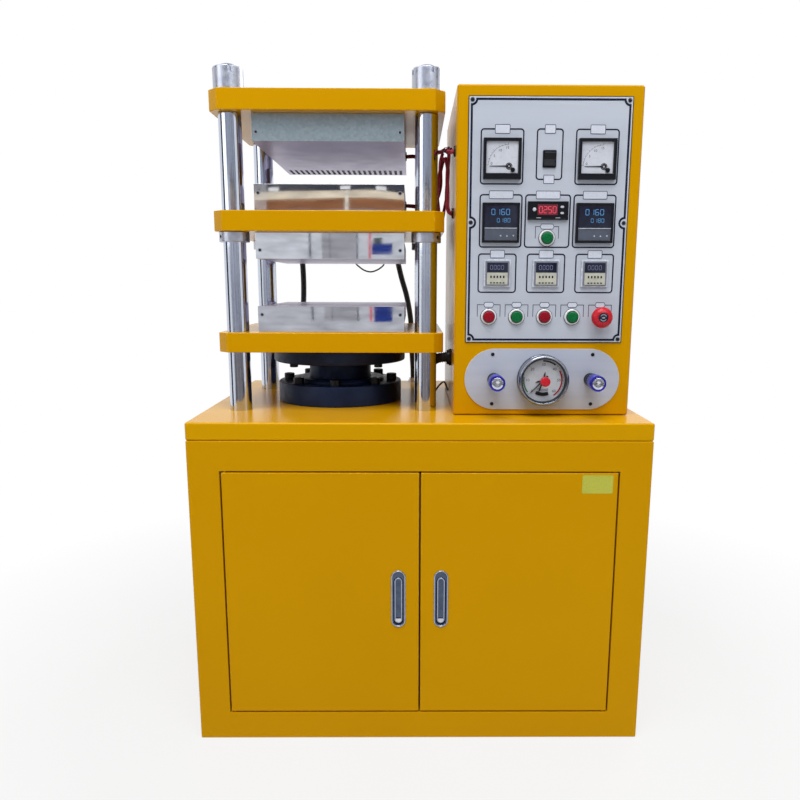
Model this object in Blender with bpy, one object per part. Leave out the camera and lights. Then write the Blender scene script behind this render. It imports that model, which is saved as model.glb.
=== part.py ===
"""Four-column laboratory platen press on a steel cabinet, with a control tower beside it.

Metres, +Z up, front towards -Y. The origin is the middle of the cabinet's underside.
"""

import math

import bmesh
import bpy
from mathutils import Matrix, Vector
from mathutils.geometry import interpolate_bezier

# Clearances
FIT = 0.0003  # between faces that touch in the real machine
SLIDE_FIT = 0.0004  # round a shaft that slides or turns
CORD_FIT = 0.001  # round a hose or conduit in its gland

# Cabinet
CAB_W, CAB_D, CAB_H = 0.900, 0.610, 0.664
BENCH_H = 0.035
BENCH_EDGE_R = 0.0025
SHEET = 0.003
FRAME_DEPTH = 0.022
OPENING_W = 0.776
OPENING_LOW, OPENING_DOWN = 0.0575, 0.095  # up from the floor, down from the bench's top
VENT_W, VENT_H, VENT_PITCH, VENT_ROWS = 0.120, 0.006, 0.018, 7
VENT_X, VENT_DOWN = 0.250, 0.264  # the lowest vent, down from the bench's top

# Doors
DOOR_GAP = 0.003
DOOR_T = 0.020
DOOR_SKIN = 0.002
HINGE_INSET = 0.006
HINGE_PIN_R = 0.003
HINGE_PIN_L = 0.007

# Flush lever locks in the doors
LOCK_X, LOCK_DOWN = 0.0425, 0.00675  # below the middle of the opening
LOCK_W, LOCK_H = 0.029, 0.120
LOCK_RIM = 0.002
LOCK_LIP = 0.0022
LOCK_DEPTH = 0.0175
RECESS_WALL = 0.002
RECESS_DEPTH = 0.0150
LEVER_W, LEVER_H, LEVER_T = 0.017, 0.099, 0.005
LEVER_DROP = 0.0045  # the lever's middle lies this far below the lock's middle
LEVER_BARREL_R = 0.0042
LEVER_PIN_R = 0.0018
LEVER_PIVOT_DOWN = 0.009  # from the lever's top end
LEVER_PIVOT_IN = 0.006  # behind the door's front
CAM_SHAFT_R, CAM_L, CAM_W, CAM_T = 0.007, 0.040, 0.012, 0.003

# Press frame
PRESS_X, PRESS_Y = -0.182, 0.003
COLUMN_DX, COLUMN_DY = 0.388, 0.315
COLUMN_R = 0.0225
SPIGOT_R = 0.015
SPIGOT_PROUD = 0.006
FOOT_R, FOOT_H = 0.034, 0.030
NUT_R, NUT_H = 0.0295, 0.043
NUT_SLOT_W, NUT_SLOT_D, NUT_SLOT_COUNT, NUT_SLOT_TURN = 0.006, 0.013, 4, 20.0
COLLAR_R, COLLAR_H = 0.030, 0.020
COLLAR_SCREW_R = 0.0028
BEAM_W, BEAM_D, BEAM_H = 0.460, 0.385, 0.040
BEAM_CHAMFER = 0.020
MOVING_BEAM_UP = 0.123  # above the bench, as are the platens

# Platens
PLATEN_W, PLATEN_D, PLATEN_H = 0.300, 0.360, 0.0525
PLATEN_FRONT_INSET = 0.0245  # behind the beams' front faces
PLATE_H = 0.034
LAGGING_INSET = 0.004
COVER_T = 0.002
MIDDLE_PLATEN_UP, UPPER_PLATEN_UP = 0.3108, 0.5373
GUARD_D, GUARD_H, GUARD_T = 0.080, 0.040, 0.002
GUARD_SLOT_W, GUARD_SLOT_PITCH, GUARD_SLOT_COUNT, GUARD_MARGIN = 0.0065, 0.013, 22, 0.006
HOSE_STUB_R, HOSE_STUB_L = 0.0075, 0.012
LINK_HOSE_X, SUPPLY_HOSE_X = -0.300, -0.055

# Hydraulics
DISC_R, DISC_H, DISC_EDGE = 0.149, 0.0325, 0.004
DISC_BOLT_R, DISC_BOLT_H, DISC_BOLT_CIRCLE_R = 0.009, 0.008, 0.130
RAM_R, RAM_L = 0.070, 0.350
FLANGE_R, FLANGE_H, FLANGE_EDGE = 0.140, 0.044, 0.003
FLANGE_BOLT_COUNT, FLANGE_BOLT_R, FLANGE_BOLT_H, FLANGE_BOLT_CIRCLE_R = 8, 0.0115, 0.014, 0.118
GLAND_RING_R, GLAND_RING_H = 0.100, 0.008
BARREL_R, BARREL_L, BARREL_FLOOR = 0.100, 0.320, 0.025
TANK_X, TANK_Y, TANK_W, TANK_D, TANK_H = 0.190, 0.010, 0.340, 0.320, 0.210
TANK_WALL, TANK_EDGE_R, TANK_LID_OVER, TANK_LID_T = 0.003, 0.005, 0.010, 0.006
FILLER_R, FILLER_H, FILLER_BORE_R = 0.026, 0.025, 0.018
MOTOR_R, MOTOR_H, MOTOR_FLANGE_R, MOTOR_FLANGE_T = 0.065, 0.190, 0.085, 0.012
MOTOR_RIB_COUNT, MOTOR_RIB_H = 3, 0.004
MOTOR_BOX_W, MOTOR_BOX_D, MOTOR_BOX_H = 0.070, 0.040, 0.060

# Control tower
TOWER_LEFT, TOWER_W, TOWER_D, TOWER_H = 0.068, 0.354, 0.400, 0.631
TOWER_FRONT = -0.218
TOWER_SHEET = 0.002
TOWER_EDGE_R = 0.003
PANEL_T = 0.002
PANEL_MARGIN = 0.015  # how far the tower's cut-out stays inside the panel's edge
PANEL_W, PANEL_H, PANEL_Z = 0.308, 0.460, 0.1485
METER_X, METER_Z, METER_W, METER_H = 0.0905, 0.496, 0.072, 0.075
METER_T, METER_WINDOW, METER_RECESS = 0.009, 0.0055, 0.005
METER_CASE, METER_CASE_L = 0.060, 0.032
NEEDLE_X, NEEDLE_Z, NEEDLE_L = 0.013, -0.0135, 0.037
NEEDLE_HUB_R, NEEDLE_POST_R, NEEDLE_POST_L = 0.0042, 0.0016, 0.0022
NEEDLE_T, NEEDLE_W = 0.0008, 0.0012
SWITCH_Z, SWITCH_W, SWITCH_R = 0.4965, 0.0205, 0.0135
SWITCH_FRAME, SWITCH_FRAME_T, SWITCH_TILT = 0.0025, 0.0025, 10.0
TEMP_Z, TEMP_W, TEMP_H, TEMP_T = 0.378, 0.072, 0.075, 0.008
TEMP_CASE_W, TEMP_CASE_H, TEMP_CASE_L = 0.067, 0.069, 0.080
TEMP_WINDOW_W, TEMP_WINDOW_H, TEMP_WINDOW_Z = 0.062, 0.046, 0.010
CHILL_Z, CHILL_W, CHILL_H, CHILL_T = 0.401, 0.078, 0.0345, 0.006
CHILL_CASE_W, CHILL_CASE_H, CHILL_CASE_L = 0.071, 0.029, 0.060
TIMER_X, TIMER_Z, TIMER_W, TIMER_T = 0.0952, 0.2825, 0.052, 0.005
TIMER_FACE, TIMER_FACE_T, TIMER_CASE, TIMER_CASE_L = 0.0465, 0.003, 0.0445, 0.070
BUTTON_Z, BUTTON_PITCH = 0.198, 0.055
CHILL_BUTTON_Z = 0.350
BUTTON_R, BUTTON_PROUD, BUTTON_STEM_R, BUTTON_STEM_L = 0.0117, 0.0105, 0.0100, 0.022
BEZEL_R, BEZEL_T = 0.0145, 0.0055
BUTTON_TRAVEL = 0.003
STOP_R, STOP_PROUD, STOP_HEAD_L, STOP_NECK_R = 0.0205, 0.031, 0.016, 0.0113
PLATE_W, PLATE_HEIGHT, PLATE_Z = 0.311, 0.1225, 0.0735
VALVE_X = 0.0970
VALVE_R, VALVE_PROUD, VALVE_COLLAR_R, VALVE_COLLAR_L = 0.0140, 0.067, 0.0130, 0.014
VALVE_STEM_R, VALVE_STEM_L = 0.006, 0.020
GAUGE_R, GAUGE_PROUD, GAUGE_DIAL_R, GAUGE_DIAL_DEPTH = 0.050, 0.028, 0.0435, 0.014
GAUGE_CASE_R, GAUGE_CASE_L = 0.0455, 0.040
GAUGE_POST_R, GAUGE_BORE_R, GAUGE_POST_L = 0.0030, 0.0022, 0.006
POINTER_L, POINTER_TAIL, POINTER_HUB_R, POINTER_T, POINTER_W = 0.034, 0.011, 0.006, 0.0012, 0.0022
POINTER_REST = 225.0  # degrees from pointing right, seen from the front
KNOB_R, KNOB_PROUD, KNOB_L = 0.0095, 0.016, 0.012

# Cords that the machine holds at both ends
WIRE_R, WIRE_GLAND_R, WIRE_GLAND_BORE_R, WIRE_GLAND_L = 0.004, 0.010, 0.007, 0.002
HOSE_R, HOSE_FITTING_R, HOSE_FITTING_L = 0.007, 0.0105, 0.010
CONDUIT_R, CONDUIT_GLAND_R, CONDUIT_GLAND_L = 0.011, 0.0155, 0.008
INLET_R, INLET_BORE_R, INLET_L = 0.013, 0.007, 0.020

# Sizes that follow from the ones above
FRONT = -CAB_D / 2
BENCH_TOP = CAB_H
OPENING_HIGH = BENCH_TOP - OPENING_DOWN
VENT_Z = BENCH_TOP - VENT_DOWN
LOCK_Z = (OPENING_LOW + OPENING_HIGH) / 2 - LOCK_DOWN
MOVING_BEAM_Z = BENCH_TOP + MOVING_BEAM_UP
MIDDLE_PLATEN_Z = BENCH_TOP + MIDDLE_PLATEN_UP
UPPER_PLATEN_Z = BENCH_TOP + UPPER_PLATEN_UP
BEAM_FRONT = PRESS_Y - BEAM_D / 2
MOVING_PLATEN_Z = MOVING_BEAM_Z + BEAM_H + FIT
MIDDLE_BEAM_Z = MIDDLE_PLATEN_Z + PLATEN_H + FIT
MIDDLE_UPPER_PLATEN_Z = MIDDLE_BEAM_Z + BEAM_H + FIT
TOP_BEAM_Z = UPPER_PLATEN_Z + PLATEN_H + FIT
NUT_Z = TOP_BEAM_Z + BEAM_H + FIT
PLATEN_FRONT = BEAM_FRONT + PLATEN_FRONT_INSET
PLATEN_BACK = PLATEN_FRONT + PLATEN_D
PLATEN_RIGHT = PRESS_X + PLATEN_W / 2
TOWER_Z = BENCH_TOP + FIT
TOWER_X = TOWER_LEFT + TOWER_W / 2
FLANGE_TOP = BENCH_TOP + FIT + FLANGE_H
PANEL_FRONT = TOWER_FRONT - FIT - PANEL_T
COLUMN_PLACES = {
    "front_left": (PRESS_X - COLUMN_DX / 2, PRESS_Y - COLUMN_DY / 2),
    "front_right": (PRESS_X + COLUMN_DX / 2, PRESS_Y - COLUMN_DY / 2),
    "back_left": (PRESS_X - COLUMN_DX / 2, PRESS_Y + COLUMN_DY / 2),
    "back_right": (PRESS_X + COLUMN_DX / 2, PRESS_Y + COLUMN_DY / 2),
}
BUTTON_PLACES = {
    "heating_stop_button": (-2 * BUTTON_PITCH, BUTTON_Z),
    "heating_start_button": (-BUTTON_PITCH, BUTTON_Z),
    "press_stop_button": (0.0, BUTTON_Z),
    "press_start_button": (BUTTON_PITCH, BUTTON_Z),
    "cooling_button": (0.0, CHILL_BUTTON_Z),
}
STOP_PLACE = (2 * BUTTON_PITCH, BUTTON_Z)
UPPER_WIRE_START = (PLATEN_RIGHT, 0.120, UPPER_PLATEN_Z + 0.020)
MIDDLE_WIRE_START = (PLATEN_RIGHT, 0.060, MIDDLE_UPPER_PLATEN_Z + 0.034)
UPPER_WIRE_END = (TOWER_LEFT, -0.172, TOWER_Z + 0.5182)
MIDDLE_WIRE_END = (TOWER_LEFT, -0.120, TOWER_Z + 0.4052)
CONDUIT_WALL = (TOWER_LEFT, -0.100, TOWER_Z + 0.1057)
CONDUIT_BENCH = (TOWER_LEFT - 0.056, -0.085, BENCH_TOP)
HOSE_BENCH = (-0.014, 0.288, BENCH_TOP)

# Turns a shape made along +Z to face the front, the right, the back or the left
TO_FRONT = Matrix.Rotation(math.radians(90), 4, "X")
TO_RIGHT = Matrix.Rotation(math.radians(90), 4, "Y")
TO_BACK = Matrix.Rotation(math.radians(-90), 4, "X")
TO_LEFT = Matrix.Rotation(math.radians(-90), 4, "Y")


def linear(value):
    """One 8-bit colour channel as the linear value that a shader takes."""
    share = value / 255
    return share / 12.92 if share <= 0.04045 else ((share + 0.055) / 1.055) ** 2.4


# name: (red, green, blue), roughness, metallic
FINISHES = {
    "yellow_paint": ((214, 160, 12), 0.30, 0.0),
    "chrome": ((205, 208, 216), 0.10, 1.0),
    "zinc": ((178, 184, 196), 0.35, 1.0),
    "polished_steel": ((196, 198, 202), 0.18, 1.0),
    "galvanised_steel": ((128, 142, 146), 0.45, 0.9),
    "blackened_steel": ((38, 42, 52), 0.42, 0.6),
    "panel_aluminium": ((208, 213, 226), 0.38, 0.3),
    "plate_aluminium": ((170, 180, 205), 0.40, 0.4),
    "lock_steel": ((92, 98, 112), 0.28, 0.9),
    "black_plastic": ((24, 25, 30), 0.40, 0.0),
    "pale_plastic": ((214, 218, 224), 0.35, 0.0),
    "red_plastic": ((150, 20, 30), 0.35, 0.0),
    "green_plastic": ((12, 112, 62), 0.35, 0.0),
    "blue_anodised": ((50, 50, 160), 0.28, 0.8),
    "black_rubber": ((22, 22, 24), 0.70, 0.0),
    "red_wire": ((110, 30, 40), 0.60, 0.0),
    "grey_enamel": ((96, 112, 118), 0.45, 0.2),
}


def finish(name):
    """The shared material of that name."""
    material = bpy.data.materials.get(name)
    if material:
        return material
    colour, roughness, metallic = FINISHES[name]
    material = bpy.data.materials.new(name)
    material.use_nodes = True
    shader = material.node_tree.nodes["Principled BSDF"]
    shader.inputs["Base Color"].default_value = (*(linear(value) for value in colour), 1.0)
    shader.inputs["Roughness"].default_value = roughness
    shader.inputs["Metallic"].default_value = metallic
    return material


def clear_scene():
    for thing in list(bpy.data.objects):
        bpy.data.objects.remove(thing, do_unlink=True)


def box(low, high):
    """A cuboid between two corners."""
    shape = bmesh.new()
    bmesh.ops.create_cube(shape, size=1.0)
    for vert in shape.verts:
        vert.co = Vector([a + (c + 0.5) * (b - a) for a, b, c in zip(low, high, vert.co)])
    return shape


def prism(outline, low, high):
    """A closed outline in X and Y, extruded along Z."""
    shape = bmesh.new()
    face = shape.faces.new([shape.verts.new((x, y, low)) for x, y in outline])
    grown = bmesh.ops.extrude_face_region(shape, geom=[face])["geom"]
    upper = [item for item in grown if isinstance(item, bmesh.types.BMVert)]
    bmesh.ops.translate(shape, verts=upper, vec=(0, 0, high - low))
    bmesh.ops.recalc_face_normals(shape, faces=shape.faces)
    return shape


def turned(profile, segments=32):
    """A profile of (radius, height) spun round Z. One that leaves the axis is a closed ring."""
    shape = bmesh.new()
    verts = [shape.verts.new((radius, 0, height)) for radius, height in profile]
    edges = [shape.edges.new(pair) for pair in zip(verts, verts[1:])]
    if profile[0][0] > 0:
        edges.append(shape.edges.new((verts[-1], verts[0])))
    bmesh.ops.spin(
        shape, geom=verts + edges, cent=(0, 0, 0), axis=(0, 0, 1),
        angle=math.tau, steps=segments, use_merge=True,
    )
    bmesh.ops.remove_doubles(shape, verts=shape.verts, dist=1e-6)
    bmesh.ops.recalc_face_normals(shape, faces=shape.faces)
    return shape


def rod(radius, low, high, segments=24):
    return turned([(0, low), (radius, low), (radius, high), (0, high)], segments)


def tube(radius, bore, low, high, segments=24):
    return turned([(bore, low), (radius, low), (radius, high), (bore, high)], segments)


def stadium(width, height, arc_steps=6):
    """The outline of a slot with round ends, longer along Y or along X."""
    radius = min(width, height) / 2
    reach = abs(height - width) / 2
    points = []
    for end in (0, 1):
        for step in range(arc_steps + 1):
            angle = math.pi * (end + step / arc_steps)
            x = radius * math.cos(angle)
            y = radius * math.sin(angle) + (reach if end == 0 else -reach)
            points.append((x, y) if height > width else (y, -x))
    return points


def chamfered(width, depth, chamfer):
    """A rectangle round the origin with its corners cut off at 45 degrees."""
    points = []
    for sx, sy in ((1, -1), (1, 1), (-1, 1), (-1, -1)):
        along_x = (sx * (width / 2 - chamfer), sy * depth / 2)
        along_y = (sx * width / 2, sy * (depth / 2 - chamfer))
        points += [along_x, along_y] if sx != sy else [along_y, along_x]
    return points


def moved(shape, matrix=None, offset=(0, 0, 0)):
    """The shape turned by a matrix, then shifted."""
    shape.transform(Matrix.Translation(offset) @ (matrix or Matrix.Identity(4)))
    return shape


def group(shapes):
    """Several shapes that don't touch, as one."""
    whole = bmesh.new()
    for shape in shapes:
        mesh = bpy.data.meshes.new("part_of_group")
        shape.to_mesh(mesh)
        shape.free()
        whole.from_mesh(mesh)
        bpy.data.meshes.remove(mesh)
    return whole


def place(name, shape, material, origin=(0, 0, 0)):
    """An object of this shape, which is given in world coordinates, with its origin where stated."""
    shape.transform(Matrix.Translation(-Vector(origin)))
    mesh = bpy.data.meshes.new(name)
    shape.to_mesh(mesh)
    shape.free()
    mesh.materials.append(finish(material))
    mesh.shade_smooth()
    mesh.set_sharp_from_angle(angle=math.radians(35))
    thing = bpy.data.objects.new(name, mesh)
    thing.location = origin
    bpy.context.scene.collection.objects.link(thing)
    return thing


def helper(name, shape):
    """A shape that only cuts or extends another object."""
    thing = place(name, shape, "zinc")
    thing.hide_render = True
    thing.display_type = "WIRE"
    return thing


def combine(thing, operation, shape, solver="EXACT"):
    """Cuts a shape from an object, or joins it on."""
    other = helper(f"{thing.name}_{operation.lower()}_{len(thing.modifiers)}", shape)
    boolean = thing.modifiers.new(operation.title(), "BOOLEAN")
    boolean.operation = operation
    boolean.object = other
    boolean.solver = solver


def cut(thing, shape):
    combine(thing, "DIFFERENCE", shape)


def join(thing, shape):
    combine(thing, "UNION", shape)


def soften(thing, width, segments=2, angle=40):
    """Rounds an object's edges."""
    bevel = thing.modifiers.new("Soften", "BEVEL")
    bevel.width = width
    bevel.segments = segments
    bevel.limit_method = "ANGLE"
    bevel.angle_limit = math.radians(angle)
    bevel.harden_normals = False


def ring_of(shape_maker, count, radius, start=0.0):
    """Copies of a shape at even steps round Z."""
    copies = []
    for step in range(count):
        angle = math.radians(start) + math.tau * step / count
        copies.append(moved(shape_maker(), offset=(radius * math.cos(angle), radius * math.sin(angle), 0)))
    return group(copies)


def at_columns(shape_maker):
    """Copies of a shape on the four column axes."""
    return group([moved(shape_maker(), offset=(x, y, 0)) for x, y in COLUMN_PLACES.values()])


def vent(back):
    """A slot through a sheet whose outer face lies at that Y."""
    return box((-VENT_W / 2, back - 2 * SHEET, 0), (VENT_W / 2, back + SHEET, VENT_H))


def cabinet():
    """The welded front frame with its sheet sides, back and floor, open at the top under the bench."""
    top = CAB_H - BENCH_H - FIT
    body = place("cabinet_body", box((-CAB_W / 2, FRONT, 0), (CAB_W / 2, -FRONT, top)), "yellow_paint")
    inside = box(
        (-CAB_W / 2 + SHEET, FRONT + FRAME_DEPTH, SHEET), (CAB_W / 2 - SHEET, -FRONT - SHEET, top + SHEET)
    )
    cut(body, inside)
    opening = box(
        (-OPENING_W / 2, FRONT - SHEET, OPENING_LOW), (OPENING_W / 2, FRONT + 2 * FRAME_DEPTH, OPENING_HIGH)
    )
    cut(body, opening)
    vents = []
    for side in (-1, 1):
        for row in range(VENT_ROWS):
            vents.append(moved(vent(-FRONT), offset=(side * VENT_X, 0, VENT_Z + row * VENT_PITCH)))
    cut(body, group(vents))
    pins = []
    for side in (-1, 1):
        x, y = hinge_axis(side)
        low = OPENING_LOW - HINGE_PIN_L / 2
        high = OPENING_HIGH + HINGE_PIN_L / 2
        pins.append(moved(rod(HINGE_PIN_R, low, low + 1.5 * HINGE_PIN_L, 12), offset=(x, y, 0)))
        pins.append(moved(rod(HINGE_PIN_R, high - 1.5 * HINGE_PIN_L, high, 12), offset=(x, y, 0)))
    join(body, group(pins))


def hinge_axis(side):
    """Where the door on that side turns, in X and Y."""
    return side * (OPENING_W / 2 - DOOR_GAP - HINGE_INSET), FRONT + HINGE_INSET


def bench():
    """The thick plate on the cabinet that carries the columns, the cylinder and the tower."""
    top = place(
        "bench_top", box((-CAB_W / 2, FRONT, CAB_H - BENCH_H), (CAB_W / 2, -FRONT, BENCH_TOP)), "yellow_paint"
    )
    soften(top, BENCH_EDGE_R, 1)
    low, high = CAB_H - 2 * BENCH_H, CAB_H + BENCH_H
    holes = [moved(rod(BARREL_R + SLIDE_FIT, low, high, 32), offset=(PRESS_X, PRESS_Y, 0))]
    holes.append(at_columns(lambda: rod(COLUMN_R + FIT, low, high)))
    cut(top, group(holes))
    conduit_gland = tube(CONDUIT_GLAND_R, CONDUIT_R + CORD_FIT, -BENCH_H / 4, CONDUIT_GLAND_L, 14)
    hose_fitting = tube(HOSE_FITTING_R, HOSE_R + CORD_FIT, -BENCH_H / 4, HOSE_FITTING_L, 12)
    join(top, group([moved(conduit_gland, offset=CONDUIT_BENCH), moved(hose_fitting, offset=HOSE_BENCH)]))


def door(side):
    """A folded sheet door, open at its back, hung on pins in the cabinet's frame."""
    name = "left_door" if side < 0 else "right_door"
    outer, inner = side * (OPENING_W / 2 - DOOR_GAP), side * DOOR_GAP / 2
    low_x, high_x = min(outer, inner), max(outer, inner)
    low_z, high_z = OPENING_LOW + DOOR_GAP, OPENING_HIGH - DOOR_GAP
    x, y = hinge_axis(side)
    leaf = place(
        name, box((low_x, FRONT, low_z), (high_x, FRONT + DOOR_T, high_z)), "yellow_paint", (x, y, 0)
    )
    hollow = box(
        (low_x + DOOR_SKIN, FRONT + DOOR_SKIN, low_z + DOOR_SKIN),
        (high_x - DOOR_SKIN, FRONT + 2 * DOOR_T, high_z - DOOR_SKIN),
    )
    cut(leaf, hollow)
    slot = prism(stadium(LOCK_W - 2 * LOCK_LIP + 2 * FIT, LOCK_H - 2 * LOCK_LIP + 2 * FIT), -DOOR_T, DOOR_T)
    bores = [moved(rod(HINGE_PIN_R + SLIDE_FIT, -DOOR_T, 0, 12), offset=(x, y, low_z + 2 * DOOR_SKIN))]
    bores.append(moved(rod(HINGE_PIN_R + SLIDE_FIT, 0, DOOR_T, 12), offset=(x, y, high_z - 2 * DOOR_SKIN)))
    cut(leaf, group([moved(slot, TO_FRONT, (side * LOCK_X, FRONT, LOCK_Z))] + bores))


def lock(side):
    """The lock's cup in a door, with the pin that its lever turns on and the latch tongue behind."""
    name = "left_lock_housing" if side < 0 else "right_lock_housing"
    where = (side * LOCK_X, FRONT, LOCK_Z)
    rim = prism(stadium(LOCK_W, LOCK_H), FIT, LOCK_RIM)
    cup = place(name, moved(rim, TO_FRONT, where), "lock_steel")
    body = prism(stadium(LOCK_W - 2 * LOCK_LIP, LOCK_H - 2 * LOCK_LIP), -LOCK_DEPTH, LOCK_RIM / 2)
    join(cup, moved(body, TO_FRONT, where))
    inset = 2 * (LOCK_LIP + RECESS_WALL)
    recess = prism(stadium(LOCK_W - inset, LOCK_H - inset), -RECESS_DEPTH, LOCK_DEPTH)
    cut(cup, moved(recess, TO_FRONT, where))
    pin_reach = LOCK_W / 2 - LOCK_LIP - RECESS_WALL / 2
    pin = rod(LEVER_PIN_R, -pin_reach, pin_reach, 12)
    x, y, z = lever_pivot(side)
    join(cup, moved(pin, TO_RIGHT, (x, y, z)))
    shaft = moved(rod(CAM_SHAFT_R, RECESS_DEPTH + SHEET / 2, LOCK_DEPTH + DOOR_T / 2, 16), TO_BACK, where)
    join(cup, shaft)
    tongue = box(
        (where[0] - CAM_W / 2, FRONT + DOOR_T + 2 * CAM_T / 3, LOCK_Z - CAM_L),
        (where[0] + CAM_W / 2, FRONT + DOOR_T + 2 * CAM_T / 3 + CAM_T, LOCK_Z + CAM_W / 2),
    )
    join(cup, tongue)


def lever_pivot(side):
    """The middle of a lock lever's pin."""
    top = LOCK_Z - LEVER_DROP + LEVER_H / 2
    return side * LOCK_X, FRONT + LEVER_PIVOT_IN, top - LEVER_PIVOT_DOWN


def lever(side):
    """The lever that swings out of a lock, hung from its upper end."""
    name = "left_lock_lever" if side < 0 else "right_lock_lever"
    x, y, z = lever_pivot(side)
    centre = (x, FRONT, LOCK_Z - LEVER_DROP)
    blade = moved(prism(stadium(LEVER_W, LEVER_H), -LEVER_T + FIT, FIT), TO_FRONT, centre)
    handle = place(name, blade, "lock_steel", (x, y, z))
    soften(handle, 0.001, 1)
    barrel = rod(LEVER_BARREL_R, -LEVER_W / 2 + SHEET, LEVER_W / 2 - SHEET, 16)
    join(handle, moved(barrel, TO_RIGHT, (x, y, z)))
    cut(handle, moved(rod(LEVER_PIN_R + SLIDE_FIT, -LEVER_W, LEVER_W, 12), TO_RIGHT, (x, y, z)))


def column(corner):
    """A chromed column: foot below the bench, shaft, and a threaded spigot through the top beam and nut."""
    x, y = COLUMN_PLACES[corner]
    foot_top = CAB_H - BENCH_H - FIT
    shoulder = TOP_BEAM_Z - FIT
    tip = NUT_Z + NUT_H + SPIGOT_PROUD
    profile = [
        (0, foot_top - FOOT_H), (FOOT_R, foot_top - FOOT_H), (FOOT_R, foot_top), (COLUMN_R, foot_top),
        (COLUMN_R, shoulder), (SPIGOT_R, shoulder), (SPIGOT_R, tip), (0, tip),
    ]
    place(f"{corner}_column", moved(turned(profile, 24), offset=(x, y, 0)), "chrome", (x, y, 0))


def nut(corner):
    """A round nut with spanner slots in its upper rim."""
    x, y = COLUMN_PLACES[corner]
    shape = tube(NUT_R, SPIGOT_R + FIT, 0, NUT_H, 24)
    round_nut = place(f"{corner}_nut", moved(shape, offset=(x, y, NUT_Z)), "zinc", (x, y, NUT_Z))
    slots = []
    for step in range(NUT_SLOT_COUNT):
        slot = box(
            (SPIGOT_R + 3 * SHEET, -NUT_SLOT_W / 2, NUT_H - NUT_SLOT_D),
            (NUT_R * 1.2, NUT_SLOT_W / 2, NUT_H * 1.1),
        )
        turn = Matrix.Rotation(math.tau * step / NUT_SLOT_COUNT - math.radians(90 - NUT_SLOT_TURN), 4, "Z")
        slots.append(moved(slot, turn, (x, y, NUT_Z)))
    cut(round_nut, group(slots))


def collar(corner):
    """A clamp ring that carries the middle beam, with the hole of its set screw towards the outer corner."""
    x, y = COLUMN_PLACES[corner]
    top = MIDDLE_BEAM_Z - FIT
    profile = tube(COLLAR_R, COLUMN_R + FIT, top - COLLAR_H, top, 24)
    ring = place(f"{corner}_collar", moved(profile, offset=(x, y, 0)), "zinc", (x, y, 0))
    outwards = math.atan2(y - PRESS_Y, x - PRESS_X)
    screw = moved(rod(COLLAR_SCREW_R, COLUMN_R + 0.003, COLLAR_R * 1.2, 10), TO_RIGHT)
    cut(ring, moved(screw, Matrix.Rotation(outwards, 4, "Z"), (x, y, top - COLLAR_H / 2)))


def beam(name, low, bore_r):
    """A thick plate with cut corners, bored for the columns."""
    outline = chamfered(BEAM_W, BEAM_D, BEAM_CHAMFER)
    slab = moved(prism(outline, low, low + BEAM_H), offset=(PRESS_X, PRESS_Y, 0))
    plate = place(name, slab, "yellow_paint")
    cut(plate, at_columns(lambda: rod(bore_r, low - BEAM_H, low + 2 * BEAM_H)))


def platen(name, low, faces_down, heated):
    """A pressing plate with its lagging behind it, a sheet cover in front and its connections."""
    up = -1 if faces_down else 1
    face = low if faces_down else low + PLATEN_H
    back = low + PLATEN_H if faces_down else low
    left, right = PRESS_X - PLATEN_W / 2, PLATEN_RIGHT

    def slab(x_inset, y_low, y_high, from_z, to_z):
        z_low, z_high = min(from_z, to_z), max(from_z, to_z)
        return box((left + x_inset, y_low, z_low), (right - x_inset, y_high, z_high))

    split = face - up * PLATE_H
    plate = place(
        name, slab(0, PLATEN_FRONT + COVER_T / 2, PLATEN_BACK, face, split),
        "galvanised_steel" if name == "upper_platen" else "polished_steel",
    )
    cover_back = PLATEN_FRONT + COVER_T / 2
    join(plate, slab(LAGGING_INSET, cover_back, PLATEN_BACK - LAGGING_INSET, split + up * SHEET, back))
    join(plate, slab(0, PLATEN_FRONT, PLATEN_FRONT + COVER_T, face, back))
    if heated:
        guard_back = PLATEN_BACK + GUARD_D
        join(plate, slab(0, PLATEN_BACK - COVER_T, guard_back, face, face - up * GUARD_H))
        inside = slab(
            GUARD_T, PLATEN_BACK, guard_back - GUARD_T, face - up * GUARD_T, face - up * (GUARD_H + GUARD_T)
        )
        cut(plate, inside)
        slots = []
        first = PRESS_X - GUARD_SLOT_PITCH * (GUARD_SLOT_COUNT - 1) / 2
        for step in range(GUARD_SLOT_COUNT):
            x = first + step * GUARD_SLOT_PITCH
            z_low, z_high = sorted((face + up * GUARD_T, face - up * 2 * GUARD_T))
            slots.append(box(
                (x - GUARD_SLOT_W / 2, PLATEN_BACK + GUARD_MARGIN, z_low),
                (x + GUARD_SLOT_W / 2, guard_back - GUARD_MARGIN, z_high),
            ))
        cut(plate, group(slots))
        start = UPPER_WIRE_START if name == "upper_platen" else MIDDLE_WIRE_START
        gland = tube(WIRE_GLAND_R, WIRE_GLAND_BORE_R, -SHEET, WIRE_GLAND_L, 12)
        join(plate, moved(gland, TO_RIGHT, start))
    else:
        places = [LINK_HOSE_X, SUPPLY_HOSE_X] if faces_down else [LINK_HOSE_X]
        stubs = [
            moved(rod(HOSE_STUB_R, -SHEET, HOSE_STUB_L, 12), TO_BACK, (x, PLATEN_BACK, (face + split) / 2))
            for x in places
        ]
        join(plate, group(stubs))


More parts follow.
